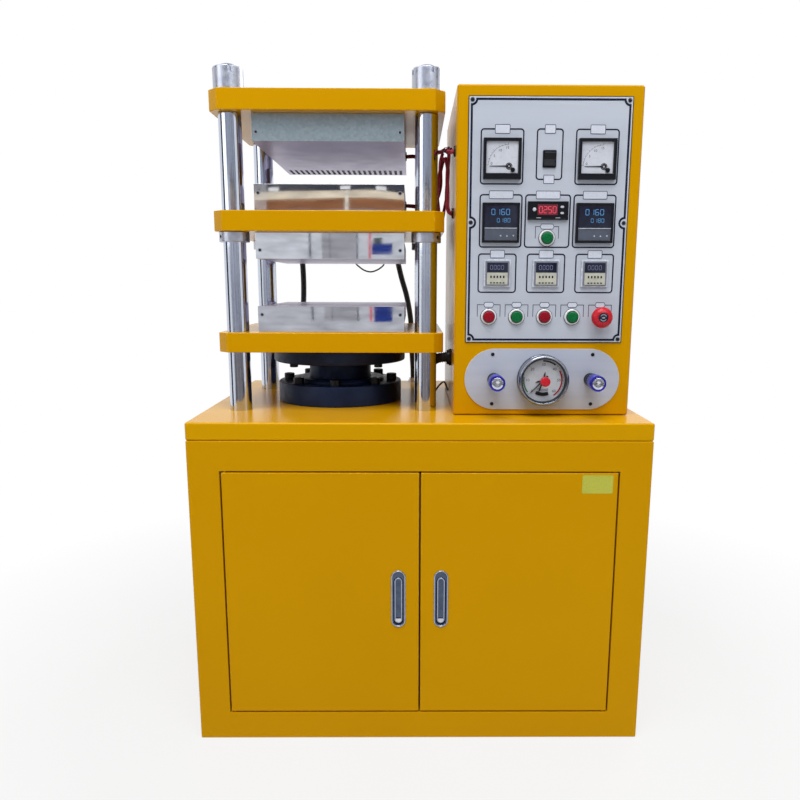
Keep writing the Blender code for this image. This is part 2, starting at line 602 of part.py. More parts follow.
def ram():
    """The ram with its pressure disc, bolted under the moving beam."""
    top = MOVING_BEAM_Z - FIT
    low = top - DISC_H
    profile = [
        (0, low - RAM_L), (RAM_R - 0.002, low - RAM_L), (RAM_R, low - RAM_L + 0.002), (RAM_R, low),
        (DISC_R - DISC_EDGE, low), (DISC_R, low + DISC_EDGE), (DISC_R, top), (0, top),
    ]
    origin = (PRESS_X, PRESS_Y, 0)
    body = place("ram", moved(turned(profile, 32), offset=origin), "blackened_steel", origin)
    heads = ring_of(lambda: rod(DISC_BOLT_R, low - DISC_BOLT_H, low + SHEET, 10), 4, DISC_BOLT_CIRCLE_R, 45)
    join(body, moved(heads, offset=origin))


def cylinder():
    """The cylinder: a bolted flange on the bench and a barrel that hangs through it."""
    flange = BENCH_TOP + FIT
    bore = RAM_R + SLIDE_FIT
    ring_top = FLANGE_TOP + GLAND_RING_H
    low = flange - BARREL_L
    profile = [
        (0, low), (BARREL_R, low), (BARREL_R, flange), (FLANGE_R, flange),
        (FLANGE_R, FLANGE_TOP - FLANGE_EDGE), (FLANGE_R - FLANGE_EDGE, FLANGE_TOP),
        (GLAND_RING_R, FLANGE_TOP), (GLAND_RING_R - FLANGE_EDGE, ring_top),
        (bore, ring_top), (bore, low + BARREL_FLOOR), (0, low + BARREL_FLOOR),
    ]
    origin = (PRESS_X, PRESS_Y, 0)
    body = place("cylinder", moved(turned(profile, 32), offset=origin), "blackened_steel", origin)
    heads = ring_of(
        lambda: rod(FLANGE_BOLT_R, FLANGE_TOP - SHEET, FLANGE_TOP + FLANGE_BOLT_H, 10),
        FLANGE_BOLT_COUNT, FLANGE_BOLT_CIRCLE_R, 90,
    )
    join(body, moved(heads, offset=origin))


def power_unit():
    """The oil tank on the cabinet's floor with a flanged lid and an open filler neck, and its pump motor."""
    low = SHEET + FIT
    top = low + TANK_H
    x0, x1 = TANK_X - TANK_W / 2, TANK_X + TANK_W / 2
    y0, y1 = TANK_Y - TANK_D / 2, TANK_Y + TANK_D / 2
    tank = place("hydraulic_power_unit", box((x0, y0, low), (x1, y1, top)), "grey_enamel")
    soften(tank, TANK_EDGE_R, 1)
    lid = box(
        (x0 - TANK_LID_OVER, y0 - TANK_LID_OVER, top - TANK_LID_T),
        (x1 + TANK_LID_OVER, y1 + TANK_LID_OVER, top),
    )
    join(tank, lid)
    filler = (x0 + 2 * FILLER_R, y0 + 2 * FILLER_R, top)
    join(tank, moved(rod(FILLER_R, -TANK_LID_T / 2, FILLER_H, 16), offset=filler))
    for shape in motor(top):
        join(tank, shape)
    inside = box(
        (x0 + TANK_WALL, y0 + TANK_WALL, low + TANK_WALL),
        (x1 - TANK_WALL, y1 - TANK_WALL, top - 2 * TANK_LID_T),
    )
    cut(tank, inside)
    cut(tank, moved(rod(FILLER_BORE_R, -3 * TANK_LID_T, 2 * FILLER_H, 16), offset=filler))


def motor(lid):
    """The ribbed electric motor that drives the pump and its terminal box, standing on the tank's lid."""
    profile = [(0, -TANK_LID_T / 2), (MOTOR_FLANGE_R, -TANK_LID_T / 2), (MOTOR_FLANGE_R, MOTOR_FLANGE_T)]
    profile.append((MOTOR_R, MOTOR_FLANGE_T))
    pitch = (MOTOR_H - 3 * MOTOR_FLANGE_T) / (2 * MOTOR_RIB_COUNT)
    for rib in range(MOTOR_RIB_COUNT):
        z = MOTOR_FLANGE_T + (2 * rib + 1) * pitch
        profile += [(MOTOR_R, z), (MOTOR_R + MOTOR_RIB_H, z)]
        profile += [(MOTOR_R + MOTOR_RIB_H, z + pitch), (MOTOR_R, z + pitch)]
    profile += [(MOTOR_R, MOTOR_H - MOTOR_FLANGE_T), (0.8 * MOTOR_R, MOTOR_H), (0, MOTOR_H)]
    where = (TANK_X + TANK_W / 8, TANK_Y, lid)
    terminals = box(
        (-MOTOR_BOX_W / 2, -MOTOR_R - MOTOR_BOX_D, MOTOR_H / 3),
        (MOTOR_BOX_W / 2, -MOTOR_R / 2, MOTOR_H / 3 + MOTOR_BOX_H),
    )
    return [moved(turned(profile, 16), offset=where), moved(terminals, offset=where)]


def on_tower(u, v, out=0.0):
    """A point on the panel's front: u right of its middle, v above the tower's foot, out forwards."""
    return TOWER_X + u, PANEL_FRONT - out, TOWER_Z + v


def tower_box(u, v, width, height, low, high):
    """A cuboid on the tower's face, from one depth to another, both counted out from the panel's front."""
    x, y, z = on_tower(u, v)
    return box((x - width / 2, y - high, z - height / 2), (x + width / 2, y - low, z + height / 2))


def facing_front(shape, u, v, out=0.0):
    return moved(shape, TO_FRONT, on_tower(u, v, out))


def tower():
    """The sheet housing of the controls, open towards the bench, with its cable glands."""
    left, right = TOWER_LEFT, TOWER_LEFT + TOWER_W
    front, back = TOWER_FRONT, TOWER_FRONT + TOWER_D
    top = TOWER_Z + TOWER_H
    shell = place("control_tower", box((left, front, TOWER_Z), (right, back, top)), "yellow_paint")
    soften(shell, TOWER_EDGE_R, 1)
    inside = box(
        (left + TOWER_SHEET, front + TOWER_SHEET, TOWER_Z - BENCH_H),
        (right - TOWER_SHEET, back - TOWER_SHEET, top - TOWER_SHEET),
    )
    cut(shell, inside)
    window = tower_box(
        0, PANEL_Z + PANEL_H / 2, PANEL_W - 2 * PANEL_MARGIN, PANEL_H - 2 * PANEL_MARGIN, -4 * SHEET, SHEET
    )
    slot = prism(stadium(PLATE_W - 2 * PANEL_MARGIN, PLATE_HEIGHT - 2 * PANEL_MARGIN), -4 * SHEET, SHEET)
    louvres = []
    for row in range(VENT_ROWS):
        louvres.append(moved(vent(back), offset=(TOWER_X, 0, TOWER_Z + TOWER_H / 2 + row * VENT_PITCH)))
    cut(shell, group([window, facing_front(slot, 0, PLATE_Z)] + louvres))
    glands = [
        moved(tube(WIRE_GLAND_R, WIRE_GLAND_BORE_R, -TOWER_SHEET / 2, WIRE_GLAND_L, 12), TO_LEFT, end)
        for end in (UPPER_WIRE_END, MIDDLE_WIRE_END)
    ]
    wall = tube(CONDUIT_GLAND_R, CONDUIT_R + CORD_FIT, -TOWER_SHEET / 2, CONDUIT_GLAND_L, 14)
    glands.append(moved(wall, TO_LEFT, CONDUIT_WALL))
    inlet = tube(INLET_R, INLET_BORE_R, -TOWER_SHEET / 2, INLET_L, 12)
    glands.append(moved(inlet, TO_BACK, (TOWER_X, back, TOWER_Z + 2 * INLET_R)))
    join(shell, group(glands))


def control_panel():
    """The instrument panel, with its cut-outs, the bezels of its push buttons and the switch's frame."""
    v = PANEL_Z + PANEL_H / 2
    panel = place("control_panel", tower_box(0, v, PANEL_W, PANEL_H, -PANEL_T, 0), "panel_aluminium")
    deep = 4 * PANEL_T
    gap = 2 * SLIDE_FIT
    holes = [tower_box(0, SWITCH_Z, SWITCH_W + gap, 2 * SWITCH_R + gap, -deep, deep)]
    holes.append(tower_box(0, CHILL_Z, CHILL_CASE_W + gap, CHILL_CASE_H + gap, -deep, deep))
    for side in (-1, 1):
        holes.append(tower_box(side * METER_X, METER_Z, METER_CASE + gap, METER_CASE + gap, -deep, deep))
        holes.append(tower_box(side * METER_X, TEMP_Z, TEMP_CASE_W + gap, TEMP_CASE_H + gap, -deep, deep))
    for step in (-1, 0, 1):
        holes.append(tower_box(step * TIMER_X, TIMER_Z, TIMER_CASE + gap, TIMER_CASE + gap, -deep, deep))
    for u, z in [*BUTTON_PLACES.values(), STOP_PLACE]:
        holes.append(facing_front(rod(BUTTON_STEM_R + SLIDE_FIT, -deep, deep, 16), u, z))
    bezels = []
    for u, z in [*BUTTON_PLACES.values(), STOP_PLACE]:
        bezels.append(facing_front(tube(BEZEL_R, BUTTON_R + SLIDE_FIT, -PANEL_T / 2, BEZEL_T, 16), u, z))
    bezels.append(tower_box(
        0, SWITCH_Z, SWITCH_W + 2 * SWITCH_FRAME, 2 * (SWITCH_R + SWITCH_FRAME), -PANEL_T / 2, SWITCH_FRAME_T
    ))
    join(panel, group(bezels))
    cut(panel, group(holes))


def meter(side):
    """A moving-coil meter with its dial sunk behind the window, and the post that its needle turns on."""
    name = "left_ammeter" if side < 0 else "right_ammeter"
    u = side * METER_X
    case = place(name, tower_box(u, METER_Z, METER_W, METER_H, FIT, METER_T), "black_plastic")
    soften(case, 0.0012, 1)
    join(case, tower_box(u, METER_Z, METER_CASE, METER_CASE, -METER_CASE_L, METER_T / 2))
    window = 2 * METER_WINDOW
    cut(case, tower_box(u, METER_Z + METER_WINDOW / 4, METER_W - window, METER_H - 1.5 * window,
                        METER_T - METER_RECESS, 2 * METER_T))
    post = rod(NEEDLE_POST_R, -METER_RECESS / 2, NEEDLE_POST_L, 12)
    join(case, facing_front(post, u + NEEDLE_X, METER_Z + NEEDLE_Z, METER_T - METER_RECESS))


def needle(name, blade, post_r, hub_r, thickness, rest, centre):
    """A pointer on a hub, flat to the dial. Its rest angle is counted from pointing right."""
    turn = Matrix.Rotation(math.radians(rest), 4, "Z")
    hub = moved(tube(hub_r, post_r + SLIDE_FIT, 0, thickness, 12), TO_FRONT, centre)
    pointer = place(name, hub, "black_plastic", centre)
    join(pointer, moved(moved(prism(blade, thickness * 0.1, thickness * 0.9), turn), TO_FRONT, centre))


def meter_needle(side):
    name = "left_ammeter_needle" if side < 0 else "right_ammeter_needle"
    inner = NEEDLE_POST_R + 2 * SLIDE_FIT
    blade = [(inner, -NEEDLE_W), (NEEDLE_L, -NEEDLE_W / 3), (NEEDLE_L, NEEDLE_W / 3), (inner, NEEDLE_W)]
    centre = on_tower(side * METER_X + NEEDLE_X, METER_Z + NEEDLE_Z, METER_T - METER_RECESS + 2 * FIT)
    needle(name, blade, NEEDLE_POST_R, NEEDLE_HUB_R, NEEDLE_T, 180.0, centre)


def main_switch():
    """The rocker: two slopes that meet in a valley, with round ends that turn inside its frame."""
    ends = [math.radians(90 - SWITCH_TILT * step / 2) for step in range(-1, 7)]
    upper = [(SWITCH_R * math.cos(angle), SWITCH_R * math.sin(angle)) for angle in reversed(ends)]
    lower = [(out, -up) for out, up in reversed(upper)]
    outline = upper + [(-SWITCH_R / 4, 0)] + lower + [(SWITCH_R / 6, 0)]
    rest = Matrix.Rotation(math.radians(-SWITCH_TILT), 4, "Z")
    shape = moved(prism(outline, -SWITCH_W / 2, SWITCH_W / 2), rest)
    along_x = Matrix(((0, 0, -1, 0), (-1, 0, 0, 0), (0, 1, 0, 0), (0, 0, 0, 1)))
    centre = on_tower(0, SWITCH_Z)
    place("main_switch", moved(shape, along_x, centre), "black_plastic", centre)


def temperature_controller(side):
    """A controller with a sunk display window over its row of keys."""
    name = "left_temperature_controller" if side < 0 else "right_temperature_controller"
    u = side * METER_X
    case = place(name, tower_box(u, TEMP_Z, TEMP_W, TEMP_H, FIT, TEMP_T), "black_plastic")
    soften(case, 0.0015, 1)
    join(case, tower_box(u, TEMP_Z, TEMP_CASE_W, TEMP_CASE_H, -TEMP_CASE_L, TEMP_T / 2))
    cut(case, tower_box(u, TEMP_Z + TEMP_WINDOW_Z, TEMP_WINDOW_W, TEMP_WINDOW_H, TEMP_T - 0.0015, 2 * TEMP_T))


def cooling_controller():
    """The low controller of the cooling side, with three keys beside its display."""
    case = place("cooling_controller", tower_box(0, CHILL_Z, CHILL_W, CHILL_H, FIT, CHILL_T), "black_plastic")
    soften(case, 0.0015, 1)
    join(case, tower_box(0, CHILL_Z, CHILL_CASE_W, CHILL_CASE_H, -CHILL_CASE_L, CHILL_T / 2))
    cut(case, tower_box(-CHILL_W / 10, CHILL_Z, CHILL_W / 2, CHILL_H / 2, CHILL_T - 0.001, 2 * CHILL_T))


def timer(step):
    """A square timer: pale surround, dark face, and a sunk row of setting wheels."""
    name = {-1: "left_timer", 0: "middle_timer", 1: "right_timer"}[step]
    u = step * TIMER_X
    case = place(name, tower_box(u, TIMER_Z, TIMER_W, TIMER_W, FIT, TIMER_T), "pale_plastic")
    soften(case, 0.0015, 1)
    join(case, tower_box(u, TIMER_Z, TIMER_FACE, TIMER_FACE, TIMER_T / 2, TIMER_T + TIMER_FACE_T))
    join(case, tower_box(u, TIMER_Z, TIMER_CASE, TIMER_CASE, -TIMER_CASE_L, TIMER_T / 2 + FIT))
    wheels = tower_box(
        u, TIMER_Z - TIMER_FACE / 5, 0.74 * TIMER_FACE, TIMER_FACE / 4,
        TIMER_T + TIMER_FACE_T / 2, 3 * TIMER_T,
    )
    cut(case, wheels)


def push_button(name, u, v, material):
    """A push button's cap with the stem that guides it in the panel."""
    profile = [
        (0, -BUTTON_STEM_L), (BUTTON_STEM_R, -BUTTON_STEM_L), (BUTTON_STEM_R, BUTTON_TRAVEL + SLIDE_FIT),
        (BUTTON_R, BUTTON_TRAVEL + SLIDE_FIT), (BUTTON_R, BUTTON_PROUD - 0.0015),
        (BUTTON_R - 0.0015, BUTTON_PROUD), (0, BUTTON_PROUD),
    ]
    place(name, facing_front(turned(profile, 16), u, v), material, on_tower(u, v))


def emergency_stop():
    """The mushroom head on its neck."""
    under = STOP_PROUD - STOP_HEAD_L
    profile = [
        (0, -BUTTON_STEM_L), (BUTTON_STEM_R, -BUTTON_STEM_L), (BUTTON_STEM_R, BUTTON_TRAVEL + 3 * SLIDE_FIT),
        (STOP_NECK_R, BUTTON_TRAVEL + 3 * SLIDE_FIT), (STOP_NECK_R, under), (STOP_R - 0.002, under),
        (STOP_R, under + 0.003), (STOP_R, under + 0.007), (STOP_R - 0.003, STOP_PROUD - 0.003),
        (STOP_R - 0.009, STOP_PROUD), (0, STOP_PROUD),
    ]
    u, v = STOP_PLACE
    place("emergency_stop", facing_front(turned(profile, 20), u, v), "red_plastic", on_tower(u, v))


def valve_plate():
    """The slot-shaped plate round the gauge, with the collars of the two valves."""
    outline = stadium(PLATE_W, PLATE_HEIGHT, 10)
    plate = place("valve_plate", facing_front(prism(outline, -PANEL_T, 0), 0, PLATE_Z), "plate_aluminium")
    collars = []
    bores = [facing_front(rod(GAUGE_CASE_R + SLIDE_FIT, -2 * PANEL_T, PANEL_T, 28), 0, PLATE_Z)]
    for side in (-1, 1):
        u = side * VALVE_X
        collars.append(facing_front(rod(VALVE_COLLAR_R, -PANEL_T / 2, VALVE_COLLAR_L, 16), u, PLATE_Z))
        bore = rod(VALVE_STEM_R + SLIDE_FIT, -2 * PANEL_T, 2 * VALVE_COLLAR_L, 16)
        bores.append(facing_front(bore, u, PLATE_Z))
    join(plate, group(collars))
    cut(plate, group(bores))


def valve_knob(side):
    """A long turned knob with bevelled ends, on the stem of its valve."""
    name = "pressure_valve_knob" if side < 0 else "return_valve_knob"
    low = VALVE_COLLAR_L + FIT
    edge = 0.0015
    profile = [(0, -VALVE_STEM_L), (VALVE_STEM_R, -VALVE_STEM_L), (VALVE_STEM_R, low), (VALVE_R - edge, low)]
    profile += [(VALVE_R, low + edge), (VALVE_R, VALVE_PROUD - 2 * edge), (VALVE_R - 2 * edge, VALVE_PROUD)]
    profile.append((0, VALVE_PROUD))
    u = side * VALVE_X
    place(name, facing_front(turned(profile, 16), u, PLATE_Z), "blue_anodised", on_tower(u, PLATE_Z))


def gauge():
    """The contact gauge: a round case, its dial behind the bezel, and a hollow post for pointers."""
    dial = GAUGE_PROUD - GAUGE_DIAL_DEPTH
    edge = 0.002
    profile = [
        (0, -GAUGE_CASE_L), (GAUGE_CASE_R, -GAUGE_CASE_L), (GAUGE_CASE_R, FIT), (GAUGE_R, FIT),
        (GAUGE_R, GAUGE_PROUD - edge), (GAUGE_R - edge, GAUGE_PROUD), (GAUGE_DIAL_R + edge, GAUGE_PROUD),
        (GAUGE_DIAL_R, GAUGE_PROUD - edge), (GAUGE_DIAL_R, dial), (GAUGE_POST_R, dial),
        (GAUGE_POST_R, dial + GAUGE_POST_L), (GAUGE_BORE_R, dial + GAUGE_POST_L),
        (GAUGE_BORE_R, dial - 2 * GAUGE_POST_L), (0, dial - 2 * GAUGE_POST_L),
    ]
    shape = facing_front(turned(profile, 28), 0, PLATE_Z)
    place("pressure_gauge", shape, "chrome", on_tower(0, PLATE_Z))


def gauge_pointer():
    inner = GAUGE_POST_R + 2 * SLIDE_FIT
    blade = [
        (inner, -POINTER_W / 2), (POINTER_L - 2 * POINTER_W, -POINTER_W / 2), (POINTER_L, 0),
        (POINTER_L - 2 * POINTER_W, POINTER_W / 2), (inner, POINTER_W / 2),
    ]
    centre = on_tower(0, PLATE_Z, GAUGE_PROUD - GAUGE_DIAL_DEPTH + GAUGE_POST_L / 3)
    needle("gauge_pointer", blade, GAUGE_POST_R, POINTER_HUB_R, POINTER_T, POINTER_REST, centre)


def gauge_knob():
    """The knob over the gauge's glass that moves the contact pointers, on its shaft into the hollow post."""
    dial = GAUGE_PROUD - GAUGE_DIAL_DEPTH
    shaft_r = GAUGE_BORE_R - SLIDE_FIT
    top = GAUGE_PROUD + KNOB_PROUD
    low = top - KNOB_L
    profile = [
        (0, dial - GAUGE_POST_L), (shaft_r, dial - GAUGE_POST_L), (shaft_r, low), (KNOB_R, low),
        (KNOB_R - 0.001, top - 0.001), (KNOB_R - 0.002, top), (0, top),
    ]
    shape = facing_front(turned(profile, 16), 0, PLATE_Z)
    place("gauge_setting_knob", shape, "red_plastic", on_tower(0, PLATE_Z))


def route(name, points, radius, material, resolution=2):
    """A cord along a smooth curve through its own points, with a ring about every three diameters."""
    ends = [Vector(point) for point in points]
    slopes = [ends[1] - ends[0]]
    slopes += [(after - before) / 2 for before, after in zip(ends, ends[2:])]
    slopes.append(ends[-1] - ends[-2])
    smooth = []
    for here, there, leave, arrive in zip(ends, ends[1:], slopes, slopes[1:]):
        steps = max(2, round((there - here).length / (5 * radius)) + 1)
        smooth += interpolate_bezier(here, here + leave / 3, there - arrive / 3, there, steps)[:-1]
    smooth.append(ends[-1])
    curve = bpy.data.curves.new(name, "CURVE")
    curve.dimensions = "3D"
    curve.bevel_depth = radius
    curve.bevel_resolution = resolution
    curve.use_fill_caps = True
    spline = curve.splines.new("POLY")
    spline.points.add(len(smooth) - 1)
    for point, co in zip(spline.points, smooth):
        point.co = (*co, 1.0)
    curve.materials.append(finish(material))
    cord = bpy.data.objects.new(name, curve)
    bpy.context.scene.collection.objects.link(cord)


def beside(point, dx=0.0, dy=0.0, dz=0.0):
    """A point a little way from another one."""
    x, y, z = point
    return x + dx, y + dy, z + dz


def heater_wires():
    """The wires of the two heated platens, each from its bush in the platen to its gland in the tower."""
    start, end = UPPER_WIRE_START, UPPER_WIRE_END
    route("upper_heater_wires", [
        beside(start, FIT), beside(start, 0.014), beside(start, 0.038, -0.028, -0.006),
        beside(start, 0.062, -0.090, -0.0093), beside(start, 0.082, -0.145, -0.0123),
        beside(start, 0.0885, -0.195, -0.0193), beside(end, -0.012, 0.047, 0.0085),
        beside(end, -0.0115, 0.020, 0.0025), beside(end, -0.0085, 0.005, 0.0005),
        beside(end, -WIRE_R), beside(end, -FIT),
    ], WIRE_R, "red_wire")
    start, end = MIDDLE_WIRE_START, MIDDLE_WIRE_END
    route("middle_heater_wires", [
        beside(start, FIT), beside(start, 0.014), beside(start, 0.046, -0.012, -0.002),
        beside(start, 0.068, -0.034, 0.0061), beside(start, 0.077, -0.052, 0.0341),
        beside(start, 0.078, -0.070, 0.0681), beside(end, -0.018, 0.075, 0.1185),
        beside(end, -0.0125, 0.032, 0.1065), beside(end, -0.0115, 0.014, 0.0705),
        beside(end, -0.012, 0.007, 0.0345), beside(end, -0.012, 0.003, 0.0165),
        beside(end, -0.009, 0.0005, 0.004), beside(end, -WIRE_R), beside(end, -FIT),
    ], WIRE_R, "red_wire")


def hoses():
    """The cooling hose between the two cooled platens, and the one that comes up through the bench."""
    stub_y = PLATEN_BACK + HOSE_STUB_L + FIT
    top = (LINK_HOSE_X, stub_y, MIDDLE_PLATEN_Z + PLATE_H / 2)
    foot = (LINK_HOSE_X, stub_y, MOVING_PLATEN_Z + PLATEN_H - PLATE_H / 2)
    route("link_hose", [
        top, beside(top, 0, 0.014), beside(top, 0, 0.036, -0.016), beside(top, 0, 0.045, -0.050),
        beside(foot, 0, 0.045, 0.050), beside(foot, 0, 0.036, 0.016), beside(foot, 0, 0.014), foot,
    ], HOSE_R, "black_rubber")
    top = (SUPPLY_HOSE_X, stub_y, MIDDLE_PLATEN_Z + PLATE_H / 2)
    foot = HOSE_BENCH
    route("supply_hose", [
        top, beside(top, 0, 0.014), beside(top, 0.003, 0.0387, -0.018), beside(top, 0.011, 0.0487, -0.0518),
        beside(foot, -0.016, -0.026, 0.226), beside(foot, -0.006, -0.018, 0.164),
        beside(foot, -0.003, -0.006, 0.086), beside(foot, 0, 0, 0.036), beside(foot, 0, 0, FIT),
    ], HOSE_R, "black_rubber")


def conduit():
    """The wiring conduit from the tower's side down through the bench."""
    wall, foot = CONDUIT_WALL, CONDUIT_BENCH
    route("wiring_conduit", [
        beside(wall, -FIT), beside(wall, -0.012), beside(wall, -0.034, 0.003, -0.005),
        beside(foot, 0.007, -0.005, 0.084), beside(foot, 0, 0, 0.056), beside(foot, 0, 0, 0.026),
        beside(foot, 0, 0, FIT),
    ], CONDUIT_R, "black_rubber")


def build():
    clear_scene()
    cabinet()
    bench()
    for side in (-1, 1):
        door(side)
        lock(side)
        lever(side)
        meter(side)
        meter_needle(side)
        temperature_controller(side)
        valve_knob(side)
    for corner in COLUMN_PLACES:
        column(corner)
        nut(corner)
        collar(corner)
    beam("top_beam", TOP_BEAM_Z, SPIGOT_R + FIT)
    beam("middle_beam", MIDDLE_BEAM_Z, COLUMN_R + SLIDE_FIT)
    beam("moving_beam", MOVING_BEAM_Z, COLUMN_R + SLIDE_FIT)
    platen("upper_platen", UPPER_PLATEN_Z, faces_down=True, heated=True)
    platen("middle_upper_platen", MIDDLE_UPPER_PLATEN_Z, faces_down=False, heated=True)
    platen("middle_lower_platen", MIDDLE_PLATEN_Z, faces_down=True, heated=False)
    platen("lower_platen", MOVING_PLATEN_Z, faces_down=False, heated=False)
    ram()
    cylinder()
    power_unit()
    tower()
    control_panel()
    main_switch()
    cooling_controller()
    for step in (-1, 0, 1):
        timer(step)
    for name, (u, v) in BUTTON_PLACES.items():
        push_button(name, u, v, "red_plastic" if "stop" in name else "green_plastic")
    emergency_stop()
    valve_plate()
    gauge()
    gauge_pointer()
    gauge_knob()
    heater_wires()
    hoses()
    conduit()


build()
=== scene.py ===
import math

import bmesh
import bpy
from mathutils import Matrix, Vector
from mathutils.geometry import interpolate_bezier


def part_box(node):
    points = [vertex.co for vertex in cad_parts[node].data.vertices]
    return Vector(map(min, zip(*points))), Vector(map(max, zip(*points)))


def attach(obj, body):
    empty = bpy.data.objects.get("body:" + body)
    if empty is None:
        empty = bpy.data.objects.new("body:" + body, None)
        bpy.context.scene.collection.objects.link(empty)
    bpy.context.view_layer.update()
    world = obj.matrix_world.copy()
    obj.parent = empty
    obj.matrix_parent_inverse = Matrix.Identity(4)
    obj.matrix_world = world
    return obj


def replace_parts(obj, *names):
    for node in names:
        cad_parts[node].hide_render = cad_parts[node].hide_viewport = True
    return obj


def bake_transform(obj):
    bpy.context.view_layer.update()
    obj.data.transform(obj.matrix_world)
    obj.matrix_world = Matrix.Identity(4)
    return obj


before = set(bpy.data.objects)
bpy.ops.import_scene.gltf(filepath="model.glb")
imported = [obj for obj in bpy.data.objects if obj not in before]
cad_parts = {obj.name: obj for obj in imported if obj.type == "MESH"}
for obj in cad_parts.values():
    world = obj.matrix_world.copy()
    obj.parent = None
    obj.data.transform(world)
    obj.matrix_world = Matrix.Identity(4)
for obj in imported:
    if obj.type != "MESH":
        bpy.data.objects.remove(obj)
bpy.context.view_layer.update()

# The camera, in metres and radians. The focal length is a share of the picture's width.
CAMERA_PLACE = (-0.01502, -1.63535, 0.92555)
CAMERA_YAW, CAMERA_PITCH, CAMERA_ROLL = 0.00854, 0.17714, 0.0035
CAMERA_FOCAL = 0.88791
CAMERA_SHIFT = (-0.02308, 0.01395)
SENSOR = 36.0

# How far in front of the panel each instrument starts, and the air round a pin, a bore or a cut
SEAT, PLAY = 0.0003, 0.0004

# Only edges steeper than this, in degrees, are rounded
STEEP = 35

# Press frame
PRESS_X, PRESS_Y = -0.182, 0.003
COLUMN_DX, COLUMN_DY, COLUMN_R, COLUMN_BORE_R = 0.388, 0.315, 0.0225, 0.0229
FOOT_R, FOOT_H = 0.034, 0.030
SPIGOT_R, SPIGOT_GAP, SPIGOT_EDGE = 0.015, 0.0003, 0.0015
THREAD_PITCH, THREAD_DEPTH, THREAD_START, THREAD_END = 0.0015, 0.0007, 0.006, 0.003
NUT_R, NUT_BORE_R, NUT_EDGE = 0.0295, 0.0153, 0.0014
NUT_SLOTS, NUT_SLOT_W, NUT_SLOT_D, NUT_SLOT_FROM, NUT_SLOT_TURN = 4, 0.006, 0.013, SPIGOT_R + 0.009, 20.0
COLLAR_R, COLLAR_BORE_R, COLLAR_EDGE = 0.030, 0.0228, 0.0010
SET_SCREW_R, SET_SCREW_H, SET_SCREW_HOLE_R, SET_SCREW_FROM = 0.0034, 0.0025, 0.0038, 0.0245
BEAM_CHAMFER, BEAM_EDGE = 0.020, 0.0016
CORNERS = {
    "front_left": (-1, -1), "front_right": (1, -1), "back_left": (-1, 1), "back_right": (1, 1),
}

# Platens
PLATEN_W, PLATE_H = 0.300, 0.034
PLATEN_FRONT, PLATEN_BACK = -0.165, 0.195
LAGGING_INSET, COVER_T = 0.004, 0.002
GUARD_D, GUARD_H, GUARD_T, GUARD_MARGIN, GUARD_GAP = 0.080, 0.040, 0.002, 0.006, 0.0002
GUARD_SLOT_W, GUARD_SLOT_PITCH, GUARD_SLOT_COUNT = 0.0065, 0.013, 22
LINING_NEAR, LINING_FAR = 0.0025, 0.0040
COVER_SCREW_X, COVER_SCREW_R, SCREW_H = 0.1415, 0.0026, 0.0016
WASHER_R, WASHER_BORE_R, WASHER_T = 0.0042, 0.0012, 0.0005
BUSH_R, BUSH_BORE_R = 0.0100, 0.0062
HOSE_STUB_R, HOSE_STUB_L, HOSE_NUT_R = 0.0075, 0.012, 0.0098
LINK_HOSE_X, SUPPLY_HOSE_X = -0.300, -0.055

# Hydraulics
DISC_R, DISC_H, RAM_R = 0.149, 0.0325, 0.070
DISC_BOLT_R, DISC_BOLT_H, DISC_BOLT_CIRCLE_R, DISC_BOLTS = 0.009, 0.008, 0.130, 4
FLANGE_R, GLAND_RING_R, BARREL_R, BARREL_L, BARREL_BASE = 0.140, 0.100, 0.100, 0.320, 0.025
FLANGE_TOP, GLAND_RING_TOP = 0.7083, 0.7163
FLANGE_BOLT_R, FLANGE_BOLT_H, FLANGE_BOLT_CIRCLE_R, FLANGE_BOLTS = 0.0115, 0.014, 0.118, 8

# Locks, their depths counted back from the door's front
LOCK_X, LOCK_Z, LOCK_FRONT = 0.0425, 0.3065, -0.305
LOCK_W, LOCK_H, LOCK_WALL, LOCK_STEP, LOCK_DEPTH = 0.029, 0.120, 0.0042, 0.0022, 0.0175
LEVER_W, LEVER_H, LEVER_DROP, LEVER_TIP, LEVER_GAP = 0.017, 0.099, 0.0045, 0.012, 0.0012
LEVER_TRIM, TIP_SLOPE, PIVOT_RISE, PIVOT_DEPTH = 0.0030, 0.22, 0.036, 0.006
TONGUE_IN, TONGUE_T, TONGUE_LOW, TONGUE_HIGH, LATCH_DEPTH = 0.022, 0.003, 0.040, 0.006, 0.0155
LATCH_R, LATCH_END, PIN_R, PIN_REACH, KNUCKLE_R, KNUCKLE_REACH = 0.007, 0.0275, 0.0018, 0.0105, 0.0042, 0.0055

# The bare sticker on the right door
STICKER_X, STICKER_Z, STICKER_W, STICKER_H, STICKER_R, STICKER_T = 0.345, 0.5435, 0.060, 0.037, 0.003, 0.0002

# Tower and panel, where u is right of the tower's middle and v above its foot
TOWER_X, TOWER_Z, PANEL_FRONT = 0.245, 0.6643, -0.2203
PANEL_W, PANEL_H, PANEL_Z, PANEL_T = 0.308, 0.460, 0.1485, 0.002
FRAME_U, FRAME_LOW, FRAME_HIGH, FRAME_NOTCH = 0.1494, 0.1531, 0.6039, 0.0098
LINE_T, LINE_W, FRAME_LINE_W, LINE_CORNER_R = 0.00025, 0.0026, 0.0040, 0.0055
FINE_LINE_W, TAB_LINE_W, TAB_CHAMFER = 0.0013, 0.0011, 0.0025
BRACKET_W, BRACKET_H = 0.0225, 0.0235
PANEL_SCREW_R, SCREW_IN, PANEL_WASHER_R, PANEL_WASHER_BORE_R = 0.0036, 0.0012, 0.0046, 0.0020
PLATE_SCREW_X, PLATE_SCREW_RISE = 0.1, 0.050
# Width and thickness of the black strip round the panel's edge, a painted shadow line
EDGE_SHADOW_W, EDGE_SHADOW_T = 0.0018, 0.0012

